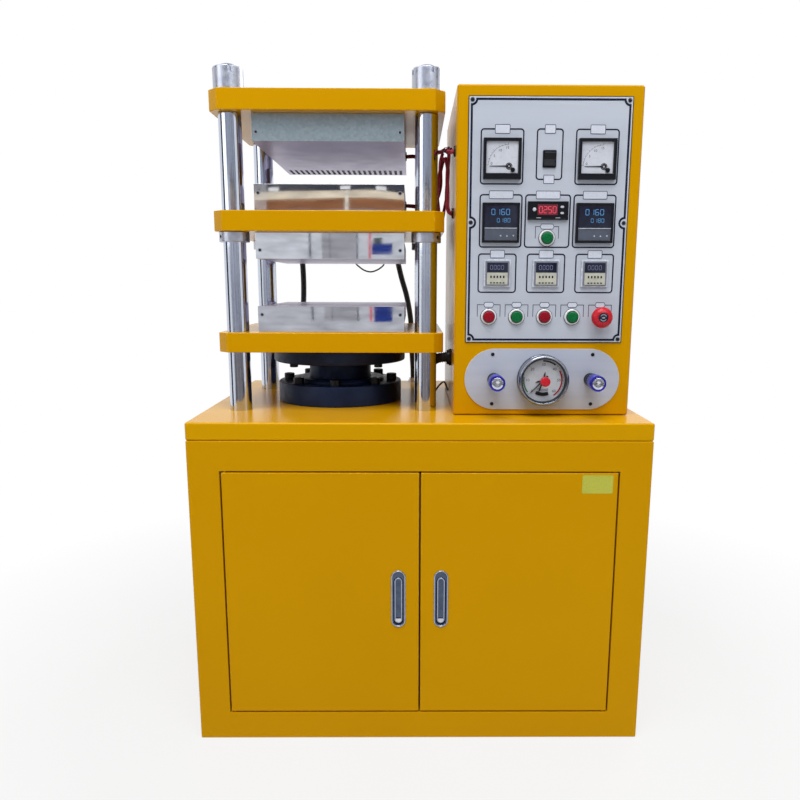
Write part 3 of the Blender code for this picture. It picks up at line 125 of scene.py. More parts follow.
# Ammeters
METER_X, METER_Z, METER_W, METER_H, METER_T = 0.0905, 0.496, 0.072, 0.075, 0.009
METER_BODY_W, METER_BODY_L, METER_CUT_W = 0.0595, 0.032, 0.060
METER_WINDOW, METER_RECESS, CARD_T = 0.0055, 0.005, 0.0003
NEEDLE_X, NEEDLE_Z = 0.013, -0.0135
METER_ARC_R, METER_NUMBER_R, METER_NUMBER_H = 0.0395, 0.0335, 0.0048
ADJUSTER_X, ADJUSTER_Z, ADJUSTER_R = 0.0072, -0.0068, 0.0042

# Width and thickness of the dials' marks, thickness of the gauge's arcs and marks, of a numeral's strokes
MARK_W, MARK_T, ARC_T, GAUGE_MARK_T, STROKE_T = 0.0005, 0.00012, 0.00015, 0.00018, 0.00015

# Main switch, controllers and timers
SWITCH_Z, SWITCH_W, SWITCH_H, SWITCH_FRAME = 0.4965, 0.0205, 0.027, 0.0025
TEMP_Z, TEMP_W, TEMP_H, TEMP_T = 0.378, 0.072, 0.075, 0.008
TEMP_BODY_W, TEMP_BODY_H, TEMP_BODY_L, TEMP_CUT = 0.0665, 0.0685, 0.080, (0.067, 0.069)
TEMP_RIM, TEMP_FIELD_RIM, TEMP_RECESS = 0.0045, 0.0048, 0.0018
CHILL_Z, CHILL_W, CHILL_H, CHILL_T = 0.401, 0.078, 0.0345, 0.006
CHILL_BODY_W, CHILL_BODY_H, CHILL_BODY_L, CHILL_CUT = 0.0705, 0.0285, 0.060, (0.071, 0.029)
CHILL_RIM, CHILL_RECESS = 0.002, 0.0006
TIMER_X, TIMER_Z, TIMER_W, TIMER_T = 0.0952, 0.2825, 0.052, 0.005
TIMER_BODY_W, TIMER_BODY_L, TIMER_CUT_W = 0.0442, 0.070, 0.0445
TIMER_FACE, TIMER_FACE_T = 0.0465, 0.003
WHEELS, WHEEL_PITCH = 5, 0.0062

# The fields on a controller's face: name, rise of the middle, height, thickness, look, rounding
TEMP_FIELDS = (
    ("window", 0.0115, 0.0425, 0.0007, "window_black", 0.0003),
    ("key_band", -0.0222, 0.0210, 0.0012, "grey_plastic", 0.0005),
    ("trim", -0.0102, 0.0013, 0.0016, "pale_plastic", 0.0003),
)
# Rows of lit numerals: digits, width and height of one, pitch, middle of the row to the right and up
TEMP_ROWS = (
    ("0160", 0.0074, 0.0115, 0.0094, -0.0010, 0.0200),
    ("0180", 0.0052, 0.0080, 0.0068, 0.0050, 0.0045),
)
CHILL_ROW = ("0250", 0.0070, 0.0130, 0.0088, -0.0010, 0.0015)
TIMER_ROW = ("0000", 0.0052, 0.0088, 0.0072, -0.0010, 0.0110)

# Buttons
BUTTON_Z, BUTTON_PITCH, CHILL_BUTTON_Z, CAP_R = 0.198, 0.055, 0.350, 0.0108
BUTTON_PROUD, BUTTON_STEM_R, BUTTON_STEM_L, BUTTON_TRAVEL = 0.0105, 0.0100, 0.022, 0.003
BEZEL_R, BEZEL_T, BEZEL_BORE_R = 0.0153, 0.0055, 0.0119
STOP_R, STOP_PROUD, STOP_HEAD_L, STOP_NECK_R = 0.0205, 0.031, 0.016, 0.0113
STOP_DISH_R, STOP_DISH_D, STOP_DISC_R, STOP_DISC_T, STOP_ARROW_R = 0.0096, 0.0012, 0.0094, 0.0006, 0.0060

# Valve plate, valves and gauge
PLATE_W, PLATE_HEIGHT, PLATE_Z, VALVE_X = 0.311, 0.1225, 0.0735, 0.0970
VALVE_R, VALVE_PROUD, VALVE_COLLAR_R, VALVE_COLLAR_L = 0.0140, 0.067, 0.0130, 0.014
VALVE_STEM_R, VALVE_STEM_L, VALVE_FLARE, VALVE_SLEEVE = 0.006, 0.020, 0.0014, 0.026
VALVE_GROOVES = (0.036, 0.055)
GAUGE_R, GAUGE_PROUD, GAUGE_DIAL_R, GAUGE_DIAL_DEPTH = 0.050, 0.028, 0.0435, 0.014
GAUGE_CASE_R, GAUGE_CASE_L = 0.0455, 0.040
GAUGE_POST_R, GAUGE_POST_BORE_R, GAUGE_POST_L = 0.0030, 0.0022, 0.006
GAUGE_ARC_R, GAUGE_SCALE_R, GAUGE_NUMBER_R, GAUGE_NUMBER_H = 0.0385, 0.0405, 0.0310, 0.0056
POINTER_REACH, POINTER_TAIL, POINTER_REST, POINTER_SWEEP = 0.0368, 0.012, 225.0, 270.0
KNOB_R, KNOB_PROUD, KNOB_L, KNOB_FLUTES, KNOB_SHAFT_R = 0.0095, 0.016, 0.012, 36, 0.0018

# Cords
WIRE_R, BUNDLE_R, LOOP_WIRE_R, LOOP_BUNDLE_R = 0.0022, 0.0026, 0.0018, 0.0017
HOSE_R, CRIMP_R, CRIMP_L = 0.0070, 0.0068, 0.016
CONDUIT_CREST_R, CONDUIT_VALLEY_R, CONDUIT_STEP = 0.0110, 0.0098, 0.0011
INLET_L, INLET_UP = 0.020, 0.026
SENSOR_WIRE_R, BENCH_WIRE_R = 0.0019, 0.0021
WIRES, LOOP_WIRES, UPPER_TWIST, MIDDLE_TWIST, LOOP_TWIST = 3, 2, 0.16, 0.19, 0.12
ROUTE_STEP, THIN_STEP, TIE_SHARES = 0.004, 0.003, (0.30, 0.62, 0.86)
# Radius, bore and length of the nuts and bushes that the cords pass through
INLET_GLAND = (0.0146, 0.0069, INLET_L + 0.0012)
CONDUIT_GLANDS = ((0.0162, 0.0114, 0.0092), (0.0162, 0.0114, 0.0086))
WIRE_GLAND = (0.0106, 0.0066, 0.0030)

BUTTONS = {
    "heating_stop_button": (-2 * BUTTON_PITCH, BUTTON_Z, "heating_stop"),
    "heating_start_button": (-BUTTON_PITCH, BUTTON_Z, "heating_start"),
    "press_stop_button": (0.0, BUTTON_Z, "press_stop"),
    "press_start_button": (BUTTON_PITCH, BUTTON_Z, "press_start"),
    "cooling_button": (0.0, CHILL_BUTTON_Z, "cooling"),
}

# The lamps: name, place, height of the point that they face, width of the square, power in watts
LAMPS = (
    ("key", (-0.3, -1.9, 4.6), 0.80, 2.6, 154.0),
    ("side", (1.3, -2.1, 2.7), 0.75, 1.1, 14.0),
    ("fill", (-2.2, -1.6, 1.9), 0.80, 1.6, 11.0),
    ("back", (1.9, 1.9, 2.4), 0.80, 1.6, 24.0),
)
# How strongly the white surround lights the object, 1 being what it shows itself
SURROUND_LIGHT = 0.34

# The stage: how white the floor shows near the object, the distances between which it turns all white,
# its width and how far it lies below the feet
FLOOR_WHITE, FLOOR_NEAR, FLOOR_FAR, FLOOR_W, FLOOR_DROP = 0.79, 0.75, 1.5, 12.0, 0.0005

# The room that the polished parts mirror. Its cards: name, colour, X and Z of the middle, width, height
ROOM_Y, ROOM_SIDE_X = -3.0, 1.7
ROOM_CARDS = (
    ("ceiling", (196, 203, 214), 0.3, 2.40, 6.0, 1.70),
    ("beam", (74, 76, 86), 0.6, 1.500, 3.4, 0.09),
    ("shelf", (255, 240, 214), 0.6, 1.4400, 3.4, 0.050),
    ("boxes", (156, 104, 70), 0.6, 1.370, 3.4, 0.09),
    ("window", (255, 255, 255), -1.62, 1.400, 1.50, 0.24),
    ("wall", (224, 227, 234), 0.3, 1.145, 6.0, 0.37),
    ("bench", (204, 205, 213), 0.3, 0.780, 6.0, 0.36),
    ("ground", (150, 142, 140), 0.3, 0.300, 6.0, 0.60),
)
# What stands in that room, in the same words, a little nearer
ROOM_THINGS = (
    ("crate", (44, 64, 142), -0.190, 0.800, 0.105, 0.20),
    ("blue_box", (48, 68, 146), -0.190, 1.128, 0.120, 0.075),
    ("can", (30, 66, 56), -0.215, 1.186, 0.050, 0.040),
    ("red_pole", (232, 112, 124), -0.262, 0.985, 0.014, 0.56),
    ("pale_edge", (255, 246, 230), -0.399, 1.385, 0.022, 0.150),
    ("door_edge", (112, 114, 124), -0.620, 0.985, 0.014, 0.56),
    ("rack", (176, 176, 182), -0.450, 0.985, 0.200, 0.56),
    ("rack_leg", (126, 126, 134), -0.340, 0.985, 0.014, 0.56),
    ("rack_foot", (132, 132, 140), -0.500, 0.985, 0.010, 0.56),
)
# Its posts: X of the middle, width, colour
ROOM_POSTS = (
    (-3.0, 0.30, (60, 62, 70)), (-2.15, 0.12, (70, 72, 80)), (-1.45, 0.09, (58, 60, 68)),
    (-1.1, 0.05, (255, 255, 255)), (0.25, 0.08, (70, 72, 80)), (0.55, 0.05, (255, 255, 255)),
    (0.85, 0.12, (50, 52, 60)), (1.5, 0.16, (58, 60, 70)), (2.1, 0.10, (255, 255, 255)),
    (2.6, 0.35, (46, 48, 56)),
)
# Its lamps: X and Z of the middle
ROOM_LAMPS = ((-0.82, 1.475), (-0.407, 1.478), (-0.193, 1.475))
ROOM_LAMP_SIZE, POST_H, POST_Z = (0.06, 0.026), 2.6, 1.3
THINGS_NEARER, POSTS_NEARER, LAMPS_NEARER = 0.03, 0.04, 0.05

# Turns a shape made along +Z to face the front, the right, the back or the left
TO_FRONT = Matrix.Rotation(math.radians(90), 4, "X")
TO_RIGHT = Matrix.Rotation(math.radians(90), 4, "Y")
TO_BACK = Matrix.Rotation(math.radians(-90), 4, "X")
TO_LEFT = Matrix.Rotation(math.radians(-90), 4, "Y")


def linear(value):
    """One 8-bit colour channel as the linear value that a shader takes."""
    share = value / 255
    return share / 12.92 if share <= 0.04045 else ((share + 0.055) / 1.055) ** 2.4


def colour(red, green, blue):
    return (linear(red), linear(green), linear(blue), 1.0)


class Look:
    """A material built up from nodes: its base, then variation, roughness, relief and wear."""

    def __init__(self, name, base, roughness, metallic=0.0):
        self.material = bpy.data.materials.new(f"{name}_finish")
        self.material.use_nodes = True
        self.tree = self.material.node_tree
        self.shader = self.tree.nodes["Principled BSDF"]
        self.base = colour(*base)
        self.set("Base Color", self.base).set("Roughness", roughness).set("Metallic", metallic)
        self.place = self.tree.nodes.new("ShaderNodeTexCoord").outputs["Object"]

    def set(self, socket, value):
        self.shader.inputs[socket].default_value = value
        return self

    def link(self, source, target):
        self.tree.links.new(source, target)

    def node(self, kind, values):
        """A new node with some of its inputs set."""
        added = self.tree.nodes.new(f"ShaderNode{kind}")
        for socket, value in values.items():
            added.inputs[socket].default_value = value
        return added

    def texture(self, kind, stretch, values):
        """A texture over the piece's own coordinates."""
        mapping = self.node("Mapping", {"Scale": stretch})
        added = self.node(f"Tex{kind}", values)
        self.link(self.place, mapping.inputs["Vector"])
        self.link(mapping.outputs["Vector"], added.inputs["Vector"])
        return added

    def noise(self, scale, stretch=(1, 1, 1), detail=3.0):
        return self.texture("Noise", stretch, {"Scale": scale, "Detail": detail}).outputs["Fac"]

    def cells(self, scale):
        """Patches of an even value each."""
        split = self.node("SeparateColor", {})
        patches = self.texture("Voronoi", (1, 1, 1), {"Scale": scale})
        self.link(patches.outputs["Color"], split.inputs["Color"])
        return split.outputs["Red"]

    def waves(self, scale, direction, distortion):
        added = self.texture("Wave", (1, 1, 1), {"Scale": scale, "Distortion": distortion})
        added.bands_direction = direction
        return added.outputs["Fac"]

    def ranged(self, source, low, high, from_low=0.3, from_high=0.7):
        limits = {"From Min": from_low, "From Max": from_high, "To Min": low, "To Max": high}
        added = self.node("MapRange", limits)
        self.link(source, added.inputs["Value"])
        return added.outputs["Result"]

    def mix(self, factor):
        """A colour mixer: its two colour inputs and its result."""
        added = self.node("Mix", {})
        added.data_type = "RGBA"
        self.link(factor, added.inputs["Factor"])
        first, second = [socket for socket in added.inputs if socket.type == "RGBA"]
        result = next(socket for socket in added.outputs if socket.type == "RGBA")
        return first, second, result

    def vary(self, source, dark, light, from_low=0.3, from_high=0.7):
        """The base colour drifts between two colours with a texture."""
        first, second, result = self.mix(self.ranged(source, 0.0, 1.0, from_low, from_high))
        first.default_value = colour(*dark)
        second.default_value = colour(*light)
        self.link(result, self.shader.inputs["Base Color"])
        return self

    def add_colour(self, factor, other):
        """Another colour over what the base has so far, by a factor."""
        socket = self.shader.inputs["Base Color"]
        first, second, result = self.mix(factor)
        if socket.links:
            self.link(socket.links[0].from_socket, first)
        else:
            first.default_value = self.base
        second.default_value = colour(*other)
        self.link(result, socket)
        return self

    def rough(self, source, low, high):
        self.link(self.ranged(source, low, high), self.shader.inputs["Roughness"])
        return self

    def relief(self, source, depth, strength):
        """Bumps of that depth in metres."""
        bump = self.node("Bump", {"Distance": depth, "Strength": strength})
        self.link(source, bump.inputs["Height"])
        socket = self.shader.inputs["Normal"]
        if socket.links:
            self.link(socket.links[0].from_socket, bump.inputs["Normal"])
        self.link(bump.outputs["Normal"], socket)
        return self

    def wear(self, other, share):
        """Rounded edges take another colour in patches."""
        mark = self.node("Attribute", {})
        mark.attribute_name = "edge"
        patch = self.ranged(self.noise(220.0, detail=5.0), 0.0, 1.0, 1.0 - share, 1.15 - share)
        product = self.node("Math", {})
        product.operation = "MULTIPLY"
        self.link(mark.outputs["Fac"], product.inputs[0])
        self.link(patch, product.inputs[1])
        return self.add_colour(product.outputs["Value"], other)

    def coat(self, weight, roughness=0.05):
        return self.set("Coat Weight", weight).set("Coat Roughness", roughness)

    def gloss(self, level):
        """How strongly the bare surface mirrors its surroundings, 0.5 being usual."""
        return self.set("Specular IOR Level", level)

    def glow(self, strength):
        return self.set("Emission Color", self.base).set("Emission Strength", strength)


def yellow_paint(name="yellow_paint", shade=(205, 149, 2)):
    """Glossy machine enamel, sprayed on steel."""
    look = Look(name, shade, 0.24)
    red, green, blue = shade
    look.vary(look.noise(2.5, detail=2.0), (red - 2, green - 2, blue), (red + 2, green + 2, blue))
    look.rough(look.noise(20.0, detail=2.0), 0.21, 0.27)
    look.relief(look.noise(6.0, detail=1.0), 0.0008, 0.20)
    look.relief(look.noise(420.0, detail=1.0), 0.00008, 0.25)
    look.set("Specular Tint", colour(255, 206, 92))
    return look.gloss(0.22).wear((228, 180, 50), 0.45).material


def chrome():
    """Hard chrome on a ground shaft."""
    look = Look("chrome", (203, 209, 224), 0.10, 1.0)
    look.vary(look.noise(7.0, (1, 1, 0.3)), (190, 196, 212), (212, 218, 230))
    look.rough(look.noise(60.0, (1, 1, 6.0)), 0.07, 0.15)
    look.relief(look.noise(900.0, (0.05, 0.05, 1.0)), 0.00002, 0.25)
    return look.material


def zinc():
    """Turned and zinc plated steel."""
    look = Look("zinc", (182, 187, 200), 0.36, 0.9)
    look.vary(look.noise(60.0, detail=5.0), (172, 177, 192), (193, 197, 209))
    look.rough(look.noise(120.0), 0.26, 0.42)
    look.relief(look.noise(1500.0, (0.03, 0.03, 1.0)), 0.00005, 0.4)
    return look.wear((226, 228, 234), 0.6).material


def polished_steel():
    """Thin polished cover sheet, slightly wavy, so that its reflections bend."""
    look = Look("polished_steel", (234, 235, 239), 0.10, 1.0)
    look.vary(look.noise(14.0, (1, 1, 3)), (227, 228, 233), (239, 240, 243))
    look.rough(look.noise(40.0, (0.3, 1, 3)), 0.02, 0.05)
    look.relief(look.noise(4.0, (1, 1, 1.5), detail=1.0), 0.0030, 0.20)
    look.relief(look.noise(500.0, (1.0, 1.0, 0.05)), 0.00001, 0.15)
    return look.wear((240, 241, 244), 0.6).material


def platen_face():
    """Ground and polished steel of the pressing faces, with fine scratches."""
    look = Look("platen_face", (182, 175, 197), 0.40, 0.70)
    look.vary(look.noise(9.0), (176, 169, 191), (188, 181, 203))
    look.rough(look.noise(25.0), 0.36, 0.44)
    look.relief(look.noise(260.0, detail=4.0), 0.00001, 0.20)
    return look.wear((214, 214, 224), 0.5).material


def galvanised_steel():
    """Galvanised sheet with a soft spangle."""
    look = Look("galvanised_steel", (146, 160, 168), 0.36, 0.55)
    look.vary(look.cells(170.0), (144, 160, 168), (160, 175, 183), 0.0, 1.0)
    streaks = look.ranged(look.noise(30.0, (1, 1, 0.3), detail=6.0), 0.0, 0.35, 0.45, 0.7)
    look.add_colour(streaks, (164, 174, 179))
    look.rough(look.noise(90.0), 0.28, 0.42)
    look.relief(look.noise(400.0), 0.00004, 0.3)
    return look.wear((190, 196, 198), 0.6).material


def lagging():
    """Pressed mineral board behind the plates."""
    look = Look("lagging", (150, 144, 140), 0.85)
    look.vary(look.noise(160.0, (1, 1, 3), detail=6.0), (124, 118, 116), (176, 168, 162))
    look.relief(look.noise(500.0, (1, 1, 3)), 0.00015, 0.6)
    return look.material


def blackened_steel():
    """Oil blackened steel with a blue cast."""
    look = Look("blackened_steel", (20, 34, 64), 0.42, 0.25)
    look.vary(look.noise(18.0, detail=6.0), (15, 27, 54), (27, 42, 75))
    look.rough(look.noise(70.0, detail=5.0), 0.34, 0.54)
    look.relief(look.noise(600.0, (0.1, 0.1, 1.0)), 0.00004, 0.3)
    return look.gloss(0.22).wear((96, 102, 114), 0.45).material


def dark_screw():
    """Blackened socket screws."""
    look = Look("dark_screw", (24, 26, 32), 0.35, 0.6)
    look.vary(look.noise(220.0), (16, 18, 23), (36, 38, 45))
    look.rough(look.noise(200.0), 0.28, 0.46)
    return look.wear((70, 74, 82), 0.5).material


def panel_aluminium():
    """Printed and clear coated aluminium, faintly brushed across."""
    look = Look("panel_aluminium", (189, 196, 209), 0.34, 0.10)
    look.vary(look.noise(40.0, (0.03, 1, 1), detail=5.0), (186, 193, 206), (192, 199, 212))
    look.rough(look.noise(300.0, (0.03, 1, 1)), 0.28, 0.40)
    look.relief(look.noise(1400.0, (0.02, 1, 1)), 0.00003, 0.3)
    return look.wear((238, 240, 244), 0.9).material


def plate_aluminium():
    """Brushed aluminium of the valve plate."""
    look = Look("plate_aluminium", (186, 193, 210), 0.36, 0.15)
    look.vary(look.noise(60.0, (0.03, 1, 1), detail=5.0), (181, 188, 206), (190, 197, 214))
    look.rough(look.noise(300.0, (0.03, 1, 1)), 0.28, 0.44)
    look.relief(look.noise(1400.0, (0.02, 1, 1)), 0.00004, 0.35)
    return look.wear((225, 230, 240), 0.9).material


def paler(shade, step):
    return tuple(min(255, value + step) for value in shade)


def ink(name, shade):
    """A printed line or a printed field."""
    look = Look(name, shade, 0.45)
    look.vary(look.noise(500.0), shade, paler(shade, 14)).rough(look.noise(300.0), 0.38, 0.52)
    return look.gloss(0.15).material


def plastic(name, shade, roughness):
    """Moulded plastic with a fine grain."""
    look = Look(name, shade, roughness)
    look.vary(look.noise(90.0), tuple(round(value * 0.90) for value in shade), shade)
    look.rough(look.noise(250.0), roughness * 0.85, roughness * 1.2)
    look.relief(look.noise(1800.0, detail=1.0), 0.00002, 0.4)
    return look.wear(paler(shade, 30), 0.5)


def lock_steel():
    look = Look("lock_steel", (76, 88, 108), 0.24, 0.85)
    look.vary(look.noise(80.0), (70, 81, 101), (83, 95, 116))
    look.rough(look.noise(150.0), 0.18, 0.32)
    look.relief(look.noise(1200.0, (1.0, 1.0, 0.04)), 0.00003, 0.3)
    return look.wear((206, 212, 226), 0.8).material


def rim_steel():
    """Polished steel of the locks' rims."""
    look = Look("rim_steel", (152, 160, 182), 0.12, 1.0)
    look.vary(look.noise(150.0), (144, 152, 174), (160, 168, 190))
    look.rough(look.noise(200.0), 0.10, 0.18)
    return look.material


def bright_metal():
    """Plated bezels, screws and fittings."""
    look = Look("bright_metal", (206, 209, 216), 0.16, 1.0)
    look.vary(look.noise(150.0), (190, 194, 204), (218, 220, 226))
    look.rough(look.noise(200.0), 0.10, 0.24)
    return look.material


def gauge_steel():
    """The gauge's plated case, darker than the fittings round it."""
    look = Look("gauge_steel", (150, 156, 170), 0.18, 1.0)
    look.vary(look.noise(130.0), (134, 140, 154), (164, 170, 184))
    look.rough(look.noise(200.0), 0.12, 0.26)
    return look.material


def satin_metal():
    """Satin plated rings, pale under a soft light."""
    look = Look("satin_metal", (236, 238, 243), 0.32, 0.30)
    look.vary(look.noise(150.0), (230, 232, 238), (244, 245, 249))
    look.rough(look.noise(200.0), 0.26, 0.40)
    return look.wear((240, 241, 244), 0.8).material


def blue_anodised():
    look = Look("blue_anodised", (46, 44, 168), 0.26, 0.75)
    look.vary(look.noise(120.0), (40, 38, 152), (60, 58, 186))
    look.rough(look.noise(300.0), 0.20, 0.34)
    look.relief(look.noise(1500.0, (1.0, 0.03, 1.0)), 0.00003, 0.3)
    return look.wear((130, 132, 214), 0.6).material


def dial_white(name="dial_white", shade=(206, 210, 221)):
    """A pale printed face under a clear coat."""
    look = Look(name, shade, 0.30)
    look.vary(look.noise(70.0), paler(shade, -8), shade).rough(look.noise(200.0), 0.24, 0.36)
    return look.coat(0.9, 0.02).material


def display(name, shade, strength):
    """Lit segments behind a tinted window."""
    look = Look(name, shade, 0.35)
    look.vary(look.noise(400.0), shade, paler(shade, 20)).rough(look.noise(300.0), 0.28, 0.42)
    return look.glow(strength).material


def window_black():
    """Tinted window over a display."""
    look = Look("window_black", (26, 30, 48), 0.10)
    look.vary(look.noise(60.0), (21, 25, 42), (32, 37, 58)).rough(look.noise(120.0), 0.07, 0.15)
    return look.gloss(0.25).coat(0.25, 0.03).material


def black_rubber():
    look = Look("black_rubber", (26, 26, 29), 0.62)
    look.vary(look.noise(130.0, detail=5.0), (19, 19, 21), (38, 38, 42))
    look.rough(look.noise(220.0), 0.52, 0.74)
    look.relief(look.noise(1300.0), 0.00005, 0.5)
    return look.wear((70, 70, 74), 0.4).material


def red_wire():
    """Woven glass sleeve, dyed dark red."""
    look = Look("red_wire", (168, 34, 58), 0.62)
    look.vary(look.noise(240.0, detail=5.0), (132, 20, 42), (200, 58, 82))
    look.relief(look.waves(1100.0, "DIAGONAL", 1.5), 0.00012, 0.7)
    look.rough(look.noise(300.0), 0.55, 0.72)
    return look.material


def grey_enamel():
    look = Look("grey_enamel", (96, 112, 118), 0.42, 0.1)
    look.vary(look.noise(12.0, detail=5.0), (86, 101, 107), (107, 123, 129))
    look.rough(look.noise(60.0), 0.34, 0.52)
    look.relief(look.noise(300.0), 0.00008, 0.4)
    return look.wear((150, 160, 164), 0.4).material


def make_looks():
    """Every material by name."""
    made_looks = [
        # The bench plate takes the same yellow enamel made a little lighter: painted light for the brighter
        # light on the bench top
        yellow_paint(), yellow_paint("bench_paint_with_painted_light", (211, 156, 4)), chrome(), zinc(), polished_steel(),
        platen_face(), galvanised_steel(), lagging(), blackened_steel(), dark_screw(), panel_aluminium(),
        plate_aluminium(), lock_steel(), rim_steel(), bright_metal(), satin_metal(), gauge_steel(),
        blue_anodised(), window_black(), black_rubber(), red_wire(), grey_enamel(),
        ink("navy_ink", (14, 18, 42)),
        ink("grey_ink", (62, 68, 88)),
        ink("black_ink", (20, 20, 26)),
        ink("red_ink", (150, 24, 34)),
        ink("green_ink", (30, 96, 62)),
        ink("tab_white", (200, 205, 219)),
        plastic("black_plastic", (14, 16, 24), 0.34).gloss(0.22).material,
        plastic("grey_plastic", (84, 90, 106), 0.42).gloss(0.3).material,
        plastic("timer_grey", (120, 125, 142), 0.40).material,
        plastic("pale_plastic", (206, 211, 222), 0.36).material,
        plastic("beige_plastic", (196, 196, 182), 0.42).material,
        plastic("red_plastic", (150, 13, 34), 0.26).gloss(0.15).coat(0.12).material,
        plastic("green_plastic", (4, 108, 56), 0.26).gloss(0.15).coat(0.12).material,
        plastic("stop_red", (202, 30, 46), 0.28).gloss(0.2).coat(0.15).material,
        display("blue_segments", (62, 118, 168), 0.40),
        display("red_segments", (208, 60, 76), 0.6),
        display("red_window", (92, 14, 32), 0.25),
        display("dim_segments", (96, 98, 134), 0.12),
        dial_white(),
        dial_white("gauge_white", (194, 201, 211)),
        dial_white("sticker", (186, 188, 24)),
    ]
    return {look.name.removesuffix("_finish"): look for look in made_looks}


looks = make_looks()


def box(low, high):
    """A cuboid between two corners."""
    shape = bmesh.new()
    bmesh.ops.create_cube(shape, size=1.0)
    for vert in shape.verts:
        vert.co = Vector([a + (c + 0.5) * (b - a) for a, b, c in zip(low, high, vert.co)])
    return shape


def raised(shape, faces, height):
    """Pulls faces up along Z into a solid."""
    grown = bmesh.ops.extrude_face_region(shape, geom=faces)["geom"]
    upper = [item for item in grown if isinstance(item, bmesh.types.BMVert)]
    bmesh.ops.translate(shape, verts=upper, vec=(0, 0, height))
    bmesh.ops.recalc_face_normals(shape, faces=shape.faces)
    return shape


def prism(outline, low, high):
    """A closed outline in X and Y, extruded along Z."""
    shape = bmesh.new()
    face = shape.faces.new([shape.verts.new((x, y, low)) for x, y in outline])
    return raised(shape, [face], high - low)


def turned(profile, segments=64):
    """A profile of (radius, height) spun round Z. One that leaves the axis is a closed ring."""
    shape = bmesh.new()
    verts = [shape.verts.new((radius, 0, height)) for radius, height in profile]
    edges = [shape.edges.new(pair) for pair in zip(verts, verts[1:])]
    if profile[0][0] > 0:
        edges.append(shape.edges.new((verts[-1], verts[0])))
    bmesh.ops.spin(
        shape, geom=verts + edges, cent=(0, 0, 0), axis=(0, 0, 1),
        angle=math.tau, steps=segments, use_merge=True,
    )
    bmesh.ops.remove_doubles(shape, verts=shape.verts, dist=1e-6)
    bmesh.ops.recalc_face_normals(shape, faces=shape.faces)
    return shape


def rod(radius, low, high, segments=32):
    return turned([(0, low), (radius, low), (radius, high), (0, high)], segments)


def tube(radius, bore, low, high, segments=48):
    return turned([(bore, low), (radius, low), (radius, high), (bore, high)], segments)


def stadium(width, height, arc_steps=14):
    """The outline of a slot with round ends, longer along Y or along X."""
    radius = min(width, height) / 2
    reach = abs(height - width) / 2
    points = []
    for end in (0, 1):
        for step in range(arc_steps + 1):
            angle = math.pi * (end + step / arc_steps)
            x = radius * math.cos(angle)
            y = radius * math.sin(angle) + (reach if end == 0 else -reach)
            points.append((x, y) if height > width else (y, -x))
    return points


def rounded(width, height, radius, steps=5):
    """The outline of a rectangle with round corners."""
    points = []
    for sx, sy, start in ((1, 1, 0), (-1, 1, 90), (-1, -1, 180), (1, -1, 270)):
        for step in range(steps + 1):
            angle = math.radians(start + 90 * step / steps)
            x = sx * (width / 2 - radius) + radius * math.cos(angle)
            y = sy * (height / 2 - radius) + radius * math.sin(angle)
            points.append((x, y))
    return points


def spot(radius, degrees):
    """A point on a circle round the origin."""
    return radius * math.cos(math.radians(degrees)), radius * math.sin(math.radians(degrees))


def arc(radius, start, end, steps=24):
    """Points on a circle round the origin between two angles in degrees."""
    return [spot(radius, start + (end - start) * step / steps) for step in range(steps + 1)]


def ribbon(points, width, low, high, closed=True):
    """A raised line of even width along a path in X and Y."""
    shape = bmesh.new()
    path = [Vector(point) for point in points]
    count = len(path)
    rails = []
    for index, here in enumerate(path):
        legs = []
        if closed or index > 0:
            legs.append((here - path[index - 1]).normalized())
        if closed or index < count - 1:
            legs.append((path[(index + 1) % count] - here).normalized())
        ahead = sum(legs, Vector((0.0, 0.0))).normalized()
        reach = width / 2 / max(0.6, ahead.dot(legs[0]))
        aside = Vector((-ahead.y, ahead.x)) * reach
        rails.append([shape.verts.new((*(here + aside), low)), shape.verts.new((*(here - aside), low))])
    links = list(zip(rails, rails[1:])) + ([(rails[-1], rails[0])] if closed else [])
    return raised(shape, [shape.faces.new((a[0], a[1], b[1], b[0])) for a, b in links], high - low)


def skinned(rings, closed):
    """A skin over rings of equally many points, which is a hoop or has an end face on both sides."""
    shape = bmesh.new()
    loops = [[shape.verts.new(point) for point in ring] for ring in rings]
    for lower, upper in zip(loops, loops[1:] + (loops[:1] if closed else [])):
        for index in range(len(lower)):
            after = (index + 1) % len(lower)
            shape.faces.new((lower[index], lower[after], upper[after], upper[index]))
    if not closed:
        shape.faces.new(loops[0][::-1])
        shape.faces.new(loops[-1])
    bmesh.ops.recalc_face_normals(shape, faces=shape.faces)
    return shape


def lofted(rings):
    return skinned(rings, closed=False)


def hoop(rings):
    return skinned(rings, closed=True)


def moved(shape, matrix=None, offset=(0, 0, 0)):
    """The shape turned by a matrix, then shifted."""
    shape.transform(Matrix.Translation(offset) @ (matrix or Matrix.Identity(4)))
    return shape


def group(shapes):
    """Several shapes as one."""
    whole = bmesh.new()
    for shape in shapes:
        mesh = bpy.data.meshes.new("part_of_group")
        shape.to_mesh(mesh)
        shape.free()
        whole.from_mesh(mesh)
        bpy.data.meshes.remove(mesh)
    return whole


def ring_of(shape_maker, count, radius, start):
    """Copies of a shape at even steps round Z."""
    copies = []
    for step in range(count):
        angle = math.radians(start) + math.tau * step / count
        copies.append(moved(shape_maker(), offset=(radius * math.cos(angle), radius * math.sin(angle), 0)))
    return group(copies)


def temporary(shape):
    mesh = bpy.data.meshes.new("temporary")
    shape.to_mesh(mesh)
    shape.free()
    thing = bpy.data.objects.new("temporary", mesh)
    bpy.context.scene.collection.objects.link(thing)
    return thing


